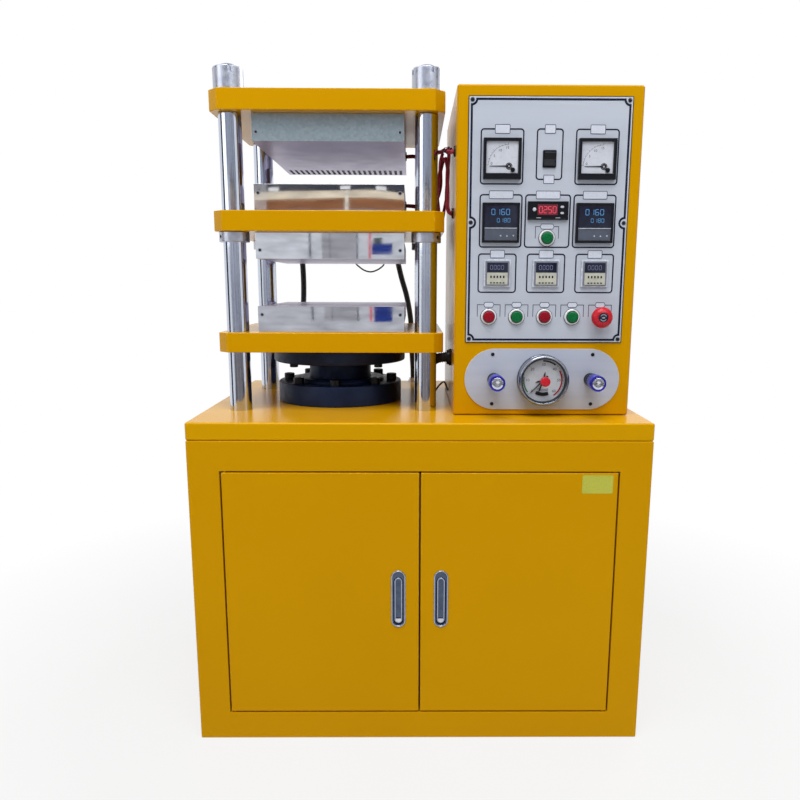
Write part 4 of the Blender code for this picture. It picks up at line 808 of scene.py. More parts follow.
def without(shape, cutter):
    """The shape with another one cut out of it."""
    things = [temporary(shape), temporary(cutter)]
    modifier = things[0].modifiers.new("Cut", "BOOLEAN")
    modifier.operation = "DIFFERENCE"
    modifier.object = things[1]
    modifier.solver = "EXACT"
    graph = bpy.context.evaluated_depsgraph_get()
    result = bmesh.new()
    result.from_mesh(things[0].evaluated_get(graph).to_mesh())
    for thing in things:
        bpy.data.objects.remove(thing, do_unlink=True)
    return result


def clean_copy(node):
    """The shape of a CAD node as whole faces."""
    shape = bmesh.new()
    shape.from_mesh(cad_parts[node].data)
    for layer in list(shape.loops.layers.uv.values()):
        shape.loops.layers.uv.remove(layer)
    bmesh.ops.remove_doubles(shape, verts=shape.verts, dist=2e-6)
    bmesh.ops.dissolve_limit(shape, angle_limit=math.radians(0.4), verts=shape.verts, edges=shape.edges)
    return shape


def outer_edges(shape):
    """The edges on the outline of the shape's own box."""
    low = Vector([min(vert.co[axis] for vert in shape.verts) for axis in range(3)])
    high = Vector([max(vert.co[axis] for vert in shape.verts) for axis in range(3)])
    found = []
    for item in shape.edges:
        middle = (item.verts[0].co + item.verts[1].co) / 2
        walls = sum(min(middle[axis] - low[axis], high[axis] - middle[axis]) < 1e-5 for axis in range(3))
        if walls >= 2:
            found.append(item)
    return found


def bevel(shape, edges, width, segments, mark):
    """Rounds some edges and marks the new faces as edge faces."""
    result = bmesh.ops.bevel(
        shape, geom=edges, offset=width, segments=segments, profile=0.5,
        affect="EDGES", clamp_overlap=True,
    )
    for face in result["faces"]:
        face[mark] = 1.0


def made(name, shape, body, look, edge=0.0, outer=0.0, segments=2, sharp=40):
    """A piece in world coordinates that moves with a body, with rounded edges."""
    mark = shape.faces.layers.float.new("edge")
    if outer:
        bevel(shape, outer_edges(shape), outer, 3, mark)
    if edge:
        steep = math.radians(STEEP)
        edges = [item for item in shape.edges if item.is_manifold and item.calc_face_angle() > steep]
        bevel(shape, edges, edge, segments, mark)
    mesh = bpy.data.meshes.new(name)
    shape.to_mesh(mesh)
    shape.free()
    mesh.materials.clear()
    mesh.materials.append(looks[look])
    mesh.shade_smooth()
    mesh.set_sharp_from_angle(angle=math.radians(sharp))
    piece = bpy.data.objects.new(name, mesh)
    bpy.context.scene.collection.objects.link(piece)
    if edge or outer:
        normals = piece.modifiers.new("Normals", "WEIGHTED_NORMAL")
        normals.keep_sharp = True
    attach(piece, body)
    return piece


def keep(node, look):
    """A CAD node stays as it is and gets a finished material."""
    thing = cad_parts[node]
    for slot in thing.material_slots:
        slot.material = looks[look]


def on_tower(u, v, out=0.0):
    """A point on the panel's front: u right of its middle, v above the tower's foot, out forwards."""
    return TOWER_X + u, PANEL_FRONT - out, TOWER_Z + v


def facing_front(shape, u, v, out=0.0):
    return moved(shape, TO_FRONT, on_tower(u, v, out))


def tower_box(u, v, width, height, low, high):
    """A cuboid on the tower's face, from one depth to another, both counted out from the panel's front."""
    x, y, z = on_tower(u, v)
    return box((x - width / 2, y - high, z - height / 2), (x + width / 2, y - low, z + height / 2))


def hex_hole(across, low, high):
    """A hexagonal hole for a key."""
    return prism([spot(across / math.sqrt(3), 60 * corner) for corner in range(6)], low, high)


def cap_screw(radius, height, low=0.0):
    """A socket screw's head standing on Z, with a chamfered rim and its hexagonal hole."""
    edge = radius * 0.12
    top = low + height
    profile = [(0, low), (radius, low), (radius, top - edge), (radius - edge, top), (0, top)]
    return without(turned(profile, 32), hex_hole(radius * 1.05, low + height * 0.45, low + height * 1.2))


def pan_screw(radius):
    """A small domed screw head with a cross recess."""
    height = SCREW_H
    profile = [(0, 0), (radius, 0), (radius, height * 0.4), (radius * 0.82, height * 0.82), (0, height)]
    arm, reach = radius * 0.16, radius * 0.55
    cross = group([
        box((-reach, -arm, height * 0.35), (reach, arm, height * 1.3)),
        box((-arm, -reach, height * 0.351), (arm, reach, height * 1.31)),
    ])
    return without(turned(profile, 24), cross)


def column_place(corner):
    side_x, side_y = CORNERS[corner]
    return PRESS_X + side_x * COLUMN_DX / 2, PRESS_Y + side_y * COLUMN_DY / 2


def at_columns(shape_maker):
    """Copies of a shape on the four column axes."""
    copies = []
    for corner in CORNERS:
        x, y = column_place(corner)
        copies.append(moved(shape_maker(), offset=(x, y, 0)))
    return group(copies)


def cabinet():
    """The painted cabinet, its bench plate and its two doors."""
    shell = made("cabinet_shell", clean_copy("cabinet_body"), "frame", "yellow_paint", 0.0007, 0.0022)
    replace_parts(shell, "cabinet_body")
    # The bench's slightly lighter yellow is painted light on its top
    bench = made("bench_plate", clean_copy("bench_top"), "frame", "bench_paint_with_painted_light", 0.0009)
    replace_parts(bench, "bench_top")
    for door in ("left_door", "right_door"):
        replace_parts(made(f"{door}_leaf", clean_copy(door), door, "yellow_paint", 0.0005, 0.0024), door)


def slot_rings(width, height, steps):
    """Rings of a slot's outline, each step (inset, height)."""
    return [
        [(x, y, level) for x, y in stadium(width - 2 * inset, height - 2 * inset)] for inset, level in steps
    ]


def lock(side):
    """A flush lock: the cup with its face and bright rim, the lever's pin, and the latch behind the door."""
    name = "left" if side < 0 else "right"
    where = (side * LOCK_X, LOCK_FRONT, LOCK_Z)
    cup = lofted(slot_rings(LOCK_W, LOCK_H, [
        (LOCK_STEP, -LOCK_DEPTH), (LOCK_STEP, 0.0002), (LOCK_WALL - 0.0006, 0.0008), (LOCK_WALL, 0.0004),
        (LOCK_WALL, -0.0140), (LOCK_WALL + 0.0010, -0.0150),
    ]))
    face = prism(stadium(LOCK_W - 2 * LOCK_WALL, LOCK_H - 2 * LOCK_WALL), -0.0010, 0.0003)
    opening = prism(stadium(LEVER_W + 2 * LEVER_GAP, LEVER_H + 2 * LEVER_GAP), -0.01, 0.01)
    face = without(face, moved(opening, offset=(0, -LEVER_DROP, 0)))
    rim = hoop(slot_rings(LOCK_W, LOCK_H, [
        (0.0, 0.0003), (0.0, 0.0011), (0.0006, 0.0018), (0.0012, 0.0020), (0.0020, 0.0020), (0.0028, 0.0015),
        (0.0030, 0.0003),
    ]))
    made(f"{name}_lock_rim", moved(rim, TO_FRONT, where), f"{name}_door", "rim_steel", sharp=60)
    left, right = latch_sides(f"{name}_lock_housing")
    tongue_y = LOCK_FRONT + TONGUE_IN
    tongue = box((left, tongue_y, LOCK_Z - TONGUE_LOW), (right, tongue_y + TONGUE_T, LOCK_Z + TONGUE_HIGH))
    shaft = moved(rod(LATCH_R, LATCH_DEPTH + 0.001, LATCH_END), TO_BACK, where)
    pin = moved(rod(PIN_R, -PIN_REACH, PIN_REACH, 16), TO_RIGHT, lever_pivot(side))
    whole = group([moved(cup, TO_FRONT, where), moved(face, TO_FRONT, where), tongue, shaft, pin])
    housing = made(f"{name}_lock_cup", whole, f"{name}_door", "lock_steel", sharp=50)
    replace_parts(housing, f"{name}_lock_housing")


def latch_sides(node):
    """The least and the greatest X of the latch behind the door."""
    points = [vert.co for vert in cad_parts[node].data.vertices]
    across = [point.x for point in points if point.y > LOCK_FRONT + LATCH_DEPTH]
    return min(across), max(across)


def lever_pivot(side):
    return side * LOCK_X, LOCK_FRONT + PIVOT_DEPTH, LOCK_Z + PIVOT_RISE


def lever(side):
    """The lever with its bright edge and a slanted finger tip at its lower end."""
    name = "left" if side < 0 else "right"
    blade = lofted(slot_rings(LEVER_W, LEVER_H, [
        (0.0012, -0.0047), (0.0, -0.0038), (0.0, -0.0012), (0.0005, -0.0004), (LEVER_TRIM, -0.0003),
    ]))
    trim = hoop(slot_rings(LEVER_W, LEVER_H, [
        (0.0003, -0.0008), (0.0004, -0.0003), (0.0012, 0.0003), (LEVER_TRIM - 0.0006, 0.0004),
        (LEVER_TRIM, -0.0001), (LEVER_TRIM, -0.0008),
    ]))
    bend = -LEVER_H / 2 + LEVER_TIP
    tip_r = LEVER_W / 2 - LEVER_TRIM
    outline = [(x, y - (LEVER_H - LEVER_W) / 2) for x, y in arc(tip_r, 180, 360, 14)]
    tip = prism(outline + [(tip_r, bend), (-tip_r, bend)], -0.0006, 0.0002)
    for shape in (blade, trim, tip):
        for vert in shape.verts:
            if vert.co.y < bend and vert.co.z > -0.003:
                vert.co.z -= (bend - vert.co.y) * TIP_SLOPE
    centre = (side * LOCK_X, LOCK_FRONT, LOCK_Z - LEVER_DROP)
    knuckle = moved(rod(KNUCKLE_R, -KNUCKLE_REACH, KNUCKLE_REACH, 24), TO_RIGHT, lever_pivot(side))
    whole = group([moved(blade, TO_FRONT, centre), knuckle])
    handle = made(f"{name}_lever_blade", whole, f"{name}_lever", "lock_steel", sharp=50)
    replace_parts(handle, f"{name}_lock_lever")
    made(f"{name}_lever_trim", moved(trim, TO_FRONT, centre), f"{name}_lever", "rim_steel", sharp=50)
    made(f"{name}_lever_tip", moved(tip, TO_FRONT, centre), f"{name}_lever", "bright_metal", sharp=50)


def columns():
    """Chromed shafts with threaded spigots, their slotted nuts and the clamp collars."""
    for corner in CORNERS:
        x, y = column_place(corner)
        low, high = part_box(f"{corner}_column")
        nut_low, nut_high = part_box(f"{corner}_nut")
        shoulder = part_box("top_beam")[0].z - SPIGOT_GAP
        foot_top = low.z + FOOT_H
        profile = [(0, low.z), (FOOT_R, low.z), (FOOT_R, foot_top), (COLUMN_R, foot_top)]
        profile += [(COLUMN_R, shoulder - 0.001), (COLUMN_R - 0.001, shoulder), (SPIGOT_R, shoulder)]
        level = nut_high.z - THREAD_START
        profile.append((SPIGOT_R, level))
        while level < high.z - THREAD_END:
            profile.append((SPIGOT_R - THREAD_DEPTH, level + THREAD_PITCH / 2))
            profile.append((SPIGOT_R, level + THREAD_PITCH))
            level += THREAD_PITCH
        profile += [(SPIGOT_R - SPIGOT_EDGE, high.z), (0, high.z)]
        shaft = made(f"{corner}_shaft", moved(turned(profile), offset=(x, y, 0)), "frame", "chrome")
        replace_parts(shaft, f"{corner}_column")
        round_nut(corner, x, y, nut_low.z, nut_high.z)
        clamp(corner, x, y)


def round_nut(corner, x, y, low, high):
    """A round nut with chamfered rims and four spanner slots."""
    profile = [
        (NUT_BORE_R, low), (NUT_R - NUT_EDGE, low), (NUT_R, low + NUT_EDGE), (NUT_R, high - NUT_EDGE),
        (NUT_R - NUT_EDGE, high), (NUT_BORE_R + NUT_EDGE, high), (NUT_BORE_R, high - NUT_EDGE),
    ]
    slots = []
    for step in range(NUT_SLOTS):
        half = NUT_SLOT_W / 2
        slot = box((NUT_SLOT_FROM, -half, high - NUT_SLOT_D), (NUT_R * 1.2, half, high + 0.01))
        turn = math.tau * step / NUT_SLOTS - math.radians(90 - NUT_SLOT_TURN)
        slots.append(moved(slot, Matrix.Rotation(turn, 4, "Z")))
    shape = moved(without(turned(profile), group(slots)), offset=(x, y, 0))
    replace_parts(made(f"{corner}_round_nut", shape, "frame", "zinc", 0.0004, sharp=30), f"{corner}_nut")


def clamp(corner, x, y):
    """A clamp ring with rounded rims and its set screw in the hole."""
    low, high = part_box(f"{corner}_collar")
    profile = [
        (COLLAR_BORE_R, low.z), (COLLAR_R - COLLAR_EDGE, low.z), (COLLAR_R, low.z + COLLAR_EDGE),
        (COLLAR_R, high.z - COLLAR_EDGE), (COLLAR_R - COLLAR_EDGE, high.z), (COLLAR_BORE_R, high.z),
    ]
    side_x, side_y = CORNERS[corner]
    outwards = Matrix.Rotation(math.atan2(side_y * COLUMN_DY, side_x * COLUMN_DX), 4, "Z")
    middle = (x, y, (low.z + high.z) / 2)
    hole = moved(rod(SET_SCREW_HOLE_R, SET_SCREW_FROM, COLLAR_R * 1.2, 24), TO_RIGHT)
    ring = without(moved(turned(profile), offset=(x, y, 0)), moved(hole, outwards, middle))
    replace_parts(made(f"{corner}_clamp_ring", ring, "frame", "zinc", 0.0003, sharp=30), f"{corner}_collar")
    screw = moved(cap_screw(SET_SCREW_R, SET_SCREW_H, SET_SCREW_FROM), TO_RIGHT)
    made(f"{corner}_set_screw", moved(screw, outwards, middle), "frame", "dark_screw")


def beams():
    """The three thick painted plates that the columns pass through."""
    for node, body, bore in (
        ("top_beam", "frame", SPIGOT_R + SPIGOT_GAP),
        ("middle_beam", "middle", COLUMN_BORE_R),
        ("moving_beam", "ram", COLUMN_BORE_R),
    ):
        low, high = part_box(node)
        cut = BEAM_CHAMFER
        outline = [
            (low.x + cut, low.y), (high.x - cut, low.y), (high.x, low.y + cut), (high.x, high.y - cut),
            (high.x - cut, high.y), (low.x + cut, high.y), (low.x, high.y - cut), (low.x, low.y + cut),
        ]
        bores = at_columns(lambda: rod(bore, low.z - 0.01, high.z + 0.01, 48))
        plate = without(prism(outline, low.z, high.z), bores)
        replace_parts(made(f"{node}_plate", plate, body, "yellow_paint", BEAM_EDGE, segments=3), node)


def platen(node, body, faces_down, heated):
    """A pressing plate, its lagging, the sheet cover with its screws, and what stands behind it."""
    low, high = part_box(node)
    up = -1 if faces_down else 1
    face = low.z if faces_down else high.z
    back = high.z if faces_down else low.z
    left, right = PRESS_X - PLATEN_W / 2, PRESS_X + PLATEN_W / 2

    def slab(inset, y_low, y_high, from_z, to_z):
        return box((left + inset, y_low, min(from_z, to_z)), (right - inset, y_high, max(from_z, to_z)))

    split = face - up * PLATE_H
    cover_back = PLATEN_FRONT + COVER_T
    plate = made(f"{node}_plate", slab(0, cover_back, PLATEN_BACK, face, split), body, "platen_face", 0.0006)
    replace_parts(plate, node)
    board = slab(LAGGING_INSET, cover_back, PLATEN_BACK - LAGGING_INSET, split, back)
    made(f"{node}_lagging", board, body, "lagging", 0.0008)
    sheet = "galvanised_steel" if node == "upper_platen" else "polished_steel"
    made(f"{node}_cover", slab(0, PLATEN_FRONT, cover_back, face, back), body, sheet, 0.0005)
    screws, washers = [], []
    for side in (-1, 1):
        x, z = PRESS_X + side * COVER_SCREW_X, face - up * PLATE_H / 2
        washer = tube(WASHER_R, WASHER_BORE_R, 0.0, WASHER_T, 32)
        washers.append(moved(washer, TO_FRONT, (x, PLATEN_FRONT, z)))
        screws.append(moved(pan_screw(COVER_SCREW_R), TO_FRONT, (x, PLATEN_FRONT - WASHER_T, z)))
    made(f"{node}_cover_screws", group(screws), body, "dark_screw")
    made(f"{node}_cover_washers", group(washers), body, "bright_metal")
    if heated:
        guard(node, body, face, up, left, right)
    else:
        hose_ends(node, body, (face + split) / 2, faces_down)


def guard(node, body, face, up, left, right):
    """The slotted sheet guard behind a heated platen, its black lining and the bush of its wires."""
    front, back = PLATEN_BACK + GUARD_GAP, PLATEN_BACK + GUARD_D
    inner_left, inner_right, inner_back = left + GUARD_T, right - GUARD_T, back - GUARD_T

    def layer(x_low, x_high, y_low, y_high, from_depth, to_depth):
        """A block between two depths behind the pressing face."""
        from_z, to_z = face - up * from_depth, face - up * to_depth
        return box((x_low, y_low, min(from_z, to_z)), (x_high, y_high, max(from_z, to_z)))

    shell = layer(left, right, front, back, 0, GUARD_H)
    hollow = layer(inner_left, inner_right, PLATEN_BACK - GUARD_T, inner_back, GUARD_T, GUARD_H + GUARD_T)
    shell = without(shell, hollow)
    slots = []
    first = PRESS_X - GUARD_SLOT_PITCH * (GUARD_SLOT_COUNT - 1) / 2
    for step in range(GUARD_SLOT_COUNT):
        x_low = first + step * GUARD_SLOT_PITCH - GUARD_SLOT_W / 2
        y_low, y_high = PLATEN_BACK + GUARD_MARGIN, back - GUARD_MARGIN
        slots.append(layer(x_low, x_low + GUARD_SLOT_W, y_low, y_high, -GUARD_T, 2 * GUARD_T))
    made(f"{node}_guard", without(shell, group(slots)), body, "platen_face", 0.0003)
    lining = layer(inner_left, inner_right, front, inner_back, LINING_NEAR, LINING_FAR)
    made(f"{node}_guard_lining", lining, body, "black_rubber")
    _, wire_y, wire_z = UPPER_WIRE[0] if node == "upper_platen" else MIDDLE_WIRE[0]
    bore = BUSH_BORE_R
    bush = turned([
        (bore, -0.001), (BUSH_R, -0.001), (BUSH_R, 0.0014), (BUSH_R - 0.0008, 0.0022), (bore, 0.0022),
    ], 32)
    made(f"{node}_wire_bush", moved(bush, TO_RIGHT, (right, wire_y, wire_z)), body, "black_plastic")


def hose_ends(node, body, z, faces_down):
    """The fittings that the cooling hoses are pushed on."""
    profile = [
        (0, -0.001), (HOSE_NUT_R, -0.001), (HOSE_NUT_R, 0.005), (HOSE_STUB_R, 0.0055), (HOSE_STUB_R, 0.010),
        (HOSE_STUB_R - 0.0008, HOSE_STUB_L), (0, HOSE_STUB_L),
    ]
    places = [LINK_HOSE_X, SUPPLY_HOSE_X] if faces_down else [LINK_HOSE_X]
    for index, x in enumerate(places):
        fitting = moved(turned(profile, 6), TO_BACK, (x, PLATEN_BACK, z))
        made(f"{node}_fitting_{index + 1}", fitting, body, "bright_metal", 0.0003)


def disc_screw():
    """A screw below the ram's disc, its head down."""
    return moved(cap_screw(DISC_BOLT_R, DISC_BOLT_H), Matrix.Rotation(math.pi, 4, "X"))


def flange_screw():
    return cap_screw(FLANGE_BOLT_R, FLANGE_BOLT_H)


def ram():
    """The ram with its disc and the disc's screws."""
    low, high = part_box("ram")
    top, disc_low = high.z, high.z - DISC_H
    profile = [
        (0, low.z), (RAM_R - 0.002, low.z), (RAM_R, low.z + 0.002), (RAM_R, disc_low - 0.002),
        (RAM_R + 0.002, disc_low), (DISC_R - 0.004, disc_low), (DISC_R - 0.0012, disc_low + 0.0012),
        (DISC_R, disc_low + 0.004), (DISC_R, top - 0.001), (DISC_R - 0.001, top), (0, top),
    ]
    piston = moved(turned(profile, 96), offset=(PRESS_X, PRESS_Y, 0))
    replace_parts(made("ram_and_disc", piston, "ram", "blackened_steel"), "ram")
    heads = ring_of(disc_screw, DISC_BOLTS, DISC_BOLT_CIRCLE_R, 45)
    made("disc_screws", moved(heads, offset=(PRESS_X, PRESS_Y, disc_low)), "ram", "dark_screw")


def cylinder():
    """The cylinder's barrel with its flange, its wiper ring and the flange's screws."""
    low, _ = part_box("cylinder")
    flange, base = low.z + BARREL_L, low.z + BARREL_BASE
    bore = RAM_R + PLAY
    profile = [
        (0, low.z), (BARREL_R - 0.004, low.z), (BARREL_R, low.z + 0.004), (BARREL_R, flange),
        (FLANGE_R - 0.001, flange), (FLANGE_R, flange + 0.001), (FLANGE_R, FLANGE_TOP - 0.003),
        (FLANGE_R - 0.001, FLANGE_TOP - 0.0008), (FLANGE_R - 0.003, FLANGE_TOP), (GLAND_RING_R, FLANGE_TOP),
        (GLAND_RING_R, GLAND_RING_TOP - 0.003), (GLAND_RING_R - 0.003, GLAND_RING_TOP),
        (bore, GLAND_RING_TOP), (bore, base), (0, base),
    ]
    barrel = moved(turned(profile, 96), offset=(PRESS_X, PRESS_Y, 0))
    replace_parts(made("cylinder_barrel", barrel, "frame", "blackened_steel"), "cylinder")
    heads = ring_of(flange_screw, FLANGE_BOLTS, FLANGE_BOLT_CIRCLE_R, 90)
    made("flange_screws", moved(heads, offset=(PRESS_X, PRESS_Y, FLANGE_TOP)), "frame", "dark_screw")


def tower():
    """The painted sheet housing of the controls."""
    shell = made("tower_shell", clean_copy("control_tower"), "frame", "yellow_paint", 0.0010)
    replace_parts(shell, "control_tower")


def control_panel():
    """The printed panel with its cut-outs, the plated bezels and the switch's frame."""
    v = PANEL_Z + PANEL_H / 2
    deep = 4 * PANEL_T
    places = [(u, z) for u, z, _ in BUTTONS.values()] + [(2 * BUTTON_PITCH, BUTTON_Z)]
    cuts = [(0, SWITCH_Z, SWITCH_W + 2 * PLAY, SWITCH_H + 2 * PLAY), (0, CHILL_Z, *CHILL_CUT)]
    cuts += [(side * METER_X, METER_Z, METER_CUT_W, METER_CUT_W) for side in (-1, 1)]
    cuts += [(side * METER_X, TEMP_Z, *TEMP_CUT) for side in (-1, 1)]
    cuts += [(step * TIMER_X, TIMER_Z, TIMER_CUT_W, TIMER_CUT_W) for step in (-1, 0, 1)]
    holes = [tower_box(*cut, -deep, deep) for cut in cuts]
    holes += [facing_front(rod(BUTTON_STEM_R + 0.0006, -deep, deep, 32), u, z) for u, z in places]
    sheet = without(tower_box(0, v, PANEL_W, PANEL_H, -PANEL_T, 0), group(holes))
    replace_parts(made("panel_sheet", sheet, "frame", "panel_aluminium", 0.0004), "control_panel")
    made("button_bezels", group([facing_front(bezel(), u, z) for u, z in places]), "frame", "satin_metal")
    # A black strip round the panel's edge: a painted shadow line where the panel stands off the tower
    edge = rounded(PANEL_W + EDGE_SHADOW_W, PANEL_H + EDGE_SHADOW_W, 0.001, 2)
    seal = ribbon(edge, EDGE_SHADOW_W, -PANEL_T, EDGE_SHADOW_T - PANEL_T)
    made("panel_edge_shadow", facing_front(seal, 0, v), "frame", "black_rubber")
    # Black rings round each bezel's foot, a painted shadow outline, then black rings that fill the gap
    # between each cap and its bezel
    seals = []
    for u, z in places:
        seals.append(facing_front(tube(BEZEL_R + 0.0010, BEZEL_R - 0.0004, 0.0, 0.0009, 48), u, z))
    for u, z in places:
        seals.append(facing_front(tube(BEZEL_BORE_R, CAP_R + 0.0002, 0.0, BEZEL_T + 0.0002, 48), u, z))
    made("button_dark_rings", group(seals), "frame", "black_rubber")
    outline = rounded(SWITCH_W + SWITCH_FRAME, SWITCH_H + SWITCH_FRAME, 0.0006)
    surround = ribbon(outline, SWITCH_FRAME, 0.0, SWITCH_FRAME)
    made("switch_frame", facing_front(surround, 0, SWITCH_Z), "frame", "black_plastic", 0.0005)


def bezel():
    """A push button's ring, with a step at its foot and a rounded lip."""
    bore = BEZEL_BORE_R
    return turned([
        (bore, 0.0), (BEZEL_R, 0.0), (BEZEL_R, 0.0022), (BEZEL_R - 0.0006, 0.0028),
        (BEZEL_R - 0.0007, BEZEL_T - 0.0008), (BEZEL_R - 0.0014, BEZEL_T), (bore + 0.0004, BEZEL_T),
        (bore, BEZEL_T - 0.0006),
    ], 48)


def frame_outline():
    """The printed frame's path: a rectangle that goes round the screws at its corners and its sides."""
    r = FRAME_NOTCH
    middle = (FRAME_LOW + FRAME_HIGH) / 2
    points = []
    for u, v, start, end in (
        (FRAME_U, FRAME_HIGH, 270, 180), (-FRAME_U, FRAME_HIGH, 0, -90), (-FRAME_U, middle, 90, -90),
        (-FRAME_U, FRAME_LOW, 90, 0), (FRAME_U, FRAME_LOW, 180, 90), (FRAME_U, middle, 270, 90),
    ):
        points += [(u + x, v + y) for x, y in arc(r, start, end, 8)]
    return points


def label_tab(u, v, width, height, chamfer=0.0):
    """A bare label field with a fine outline."""
    if chamfer:
        x, y = width / 2, height / 2
        outline = [(chamfer - x, -y), (x - chamfer, -y), (x, 0), (x - chamfer, y), (chamfer - x, y), (-x, 0)]
    else:
        outline = rounded(width, height, 0.0015, 3)
    field = prism(outline, 0.0, LINE_T * 1.4)
    line = ribbon(outline, TAB_LINE_W, 0.0, LINE_T * 2)
    return facing_front(field, u, v), facing_front(line, u, v)


def printed_lines():
    """The printed frames round the instruments and the bare label fields on them."""
    # Places, widths and heights of the frames, then of the plain fields on their edges
    frames = [(0.0, 0.5050, 0.0485, 0.0915), (0.0, 0.3815, 0.0860, 0.098)]
    tabs = [(0.0, 0.5507, 0.020, 0.0155), (0.0, 0.4593, 0.020, 0.0155), (0.0, 0.4305, 0.046, 0.0145)]
    for u in (-METER_X, METER_X):
        frames += [(u, 0.5005, 0.0805, 0.100), (u, 0.3815, 0.0805, 0.098)]
        tabs += [(u, 0.5505, 0.028, 0.0160), (u, 0.4305, 0.046, 0.0145)]
    for u in (-TIMER_X, 0.0, TIMER_X):
        frames.append((u, TIMER_Z, 0.0730, 0.0735))
        tabs.append((u, 0.3192, 0.0275, 0.0145))
    lines = [facing_front(ribbon(frame_outline(), FRAME_LINE_W, 0.0, LINE_T), 0, 0)]
    for u, v, width, height in frames:
        line = ribbon(rounded(width, height, LINE_CORNER_R), LINE_W, 0.0, LINE_T)
        lines.append(facing_front(line, u, v))
    made("printed_frames", group(lines), "frame", "navy_ink")
    # The marks over the buttons: place, width of the label, height at which the bracket's legs end
    marked = [(step * BUTTON_PITCH, BUTTON_Z, 0.0200, 0.0) for step in range(-2, 3)]
    marked.append((0.0, CHILL_BUTTON_Z - 0.0020, 0.0270, 0.0010))
    brackets = []
    for u, v, tab_w, foot in marked:
        path = [(-BRACKET_W, foot), (-BRACKET_W, BRACKET_H), (BRACKET_W, BRACKET_H), (BRACKET_W, foot)]
        brackets.append(facing_front(ribbon(path, FINE_LINE_W, 0.0, LINE_T, False), u, v))
        tabs.append((u, v + BRACKET_H, tab_w, 0.0095, TAB_CHAMFER))
    fields, outlines = zip(*(label_tab(*tab) for tab in tabs))
    made("button_brackets", group(brackets), "frame", "grey_ink")
    made("label_fields", group(fields), "frame", "tab_white")
    made("label_outlines", group(outlines), "frame", "grey_ink")


def panel_screws():
    """The six screws of the panel and the four of the valve plate."""
    middle = (FRAME_LOW + FRAME_HIGH) / 2
    heights = (FRAME_LOW + SCREW_IN, middle, FRAME_HIGH - SCREW_IN)
    places = [(side * (FRAME_U - SCREW_IN), v) for side in (-1, 1) for v in heights]
    heads = [facing_front(pan_screw(PANEL_SCREW_R), u, v) for u, v in places]
    made("panel_screws", group(heads), "frame", "dark_screw")
    washers = []
    for u, v in places:
        washers.append(facing_front(tube(PANEL_WASHER_R, PANEL_WASHER_BORE_R, 0.0, WASHER_T, 28), u, v))
    made("panel_washers", group(washers), "frame", "bright_metal")
    heads = []
    for u in (-PLATE_SCREW_X, PLATE_SCREW_X):
        for rise in (-PLATE_SCREW_RISE, PLATE_SCREW_RISE):
            heads.append(facing_front(pan_screw(PANEL_SCREW_R), u, PLATE_Z + rise))
    made("plate_screws", group(heads), "frame", "dark_screw")


def lettering(words, height, u, v, out):
    """Dial numbers as thin raised shapes."""
    curve = bpy.data.curves.new("numbers", "FONT")
    curve.body = words
    curve.size = height * 1.4
    curve.align_x = "CENTER"
    curve.align_y = "CENTER"
    curve.extrude = 0.00006
    curve.resolution_u = 3
    thing = bpy.data.objects.new("numbers", curve)
    bpy.context.scene.collection.objects.link(thing)
    graph = bpy.context.evaluated_depsgraph_get()
    shape = bmesh.new()
    shape.from_mesh(thing.evaluated_get(graph).to_mesh())
    bpy.data.objects.remove(thing, do_unlink=True)
    bpy.data.curves.remove(curve)
    return facing_front(shape, u, v, out)


def meter(side):
    """A moving-coil meter: its case, the white dial with a quarter scale, and its adjuster."""
    name = "left_ammeter" if side < 0 else "right_ammeter"
    u = side * METER_X
    window_w, window_h = METER_W - 2 * METER_WINDOW, METER_H - 3 * METER_WINDOW
    window_v = METER_Z + METER_WINDOW / 2
    floor = METER_T - METER_RECESS
    case = tower_box(u, METER_Z, METER_W, METER_H, SEAT, METER_T)
    case = without(case, tower_box(u, window_v, window_w, window_h, floor, 2 * METER_T))
    body = tower_box(u, METER_Z, METER_BODY_W, METER_BODY_W, -METER_BODY_L, SEAT)
    piece = made(f"{name}_case", group([case, body]), "frame", "black_plastic", 0.0008)
    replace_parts(piece, name)
    card = prism(rounded(window_w - PLAY, window_h - PLAY, 0.001), 0.0, CARD_T)
    made(f"{name}_dial", facing_front(card, u, window_v, floor), "frame", "dial_white")
    pivot = (u + NEEDLE_X, METER_Z + NEEDLE_Z)
    level = floor + CARD_T
    line = ribbon(arc(METER_ARC_R, 92, 178), 0.0004, 0.0, MARK_T, False)
    marks = [facing_front(line, *pivot, level)]
    for step in range(11):
        angle = 177 - 8.4 * step
        outer = METER_ARC_R + (0.0030 if step % 5 == 0 else 0.0017)
        line = ribbon([spot(METER_ARC_R - MARK_W, angle), spot(outer, angle)], MARK_W, 0.0, MARK_T, False)
        marks.append(facing_front(line, *pivot, level))
    for step, words in enumerate(("0", "5", "10", "15")):
        x, y = spot(METER_NUMBER_R, 172 - 76 * step / 3)
        marks.append(lettering(words, METER_NUMBER_H, pivot[0] + x, pivot[1] + y, level))
    made(f"{name}_scale", group(marks), "frame", "black_ink")
    ring = tube(0.0062, 0.0050, 0.0, 0.0006, 40)
    made(f"{name}_pivot_ring", facing_front(ring, *pivot, level), "frame", "black_ink")
    r = ADJUSTER_R
    adjuster = turned([(0, 0), (r, 0), (r, 0.0030), (r - 0.0006, 0.0036), (0, 0.0038)], 32)
    adjuster = without(adjuster, box((-0.0034, -0.0004, 0.0028), (0.0034, 0.0004, 0.006)))
    adjuster = facing_front(adjuster, pivot[0] + ADJUSTER_X, pivot[1] + ADJUSTER_Z, level)
    made(f"{name}_adjuster", adjuster, "frame", "black_plastic")
    keep(f"{name}_needle", "black_ink")


SEGMENTS = {
    "0": "abcdef", "1": "bc", "2": "abged", "3": "abgcd", "4": "fgbc", "5": "afgcd", "6": "afgedc",
    "7": "abc", "8": "abcdefg", "9": "abcdfg",
}


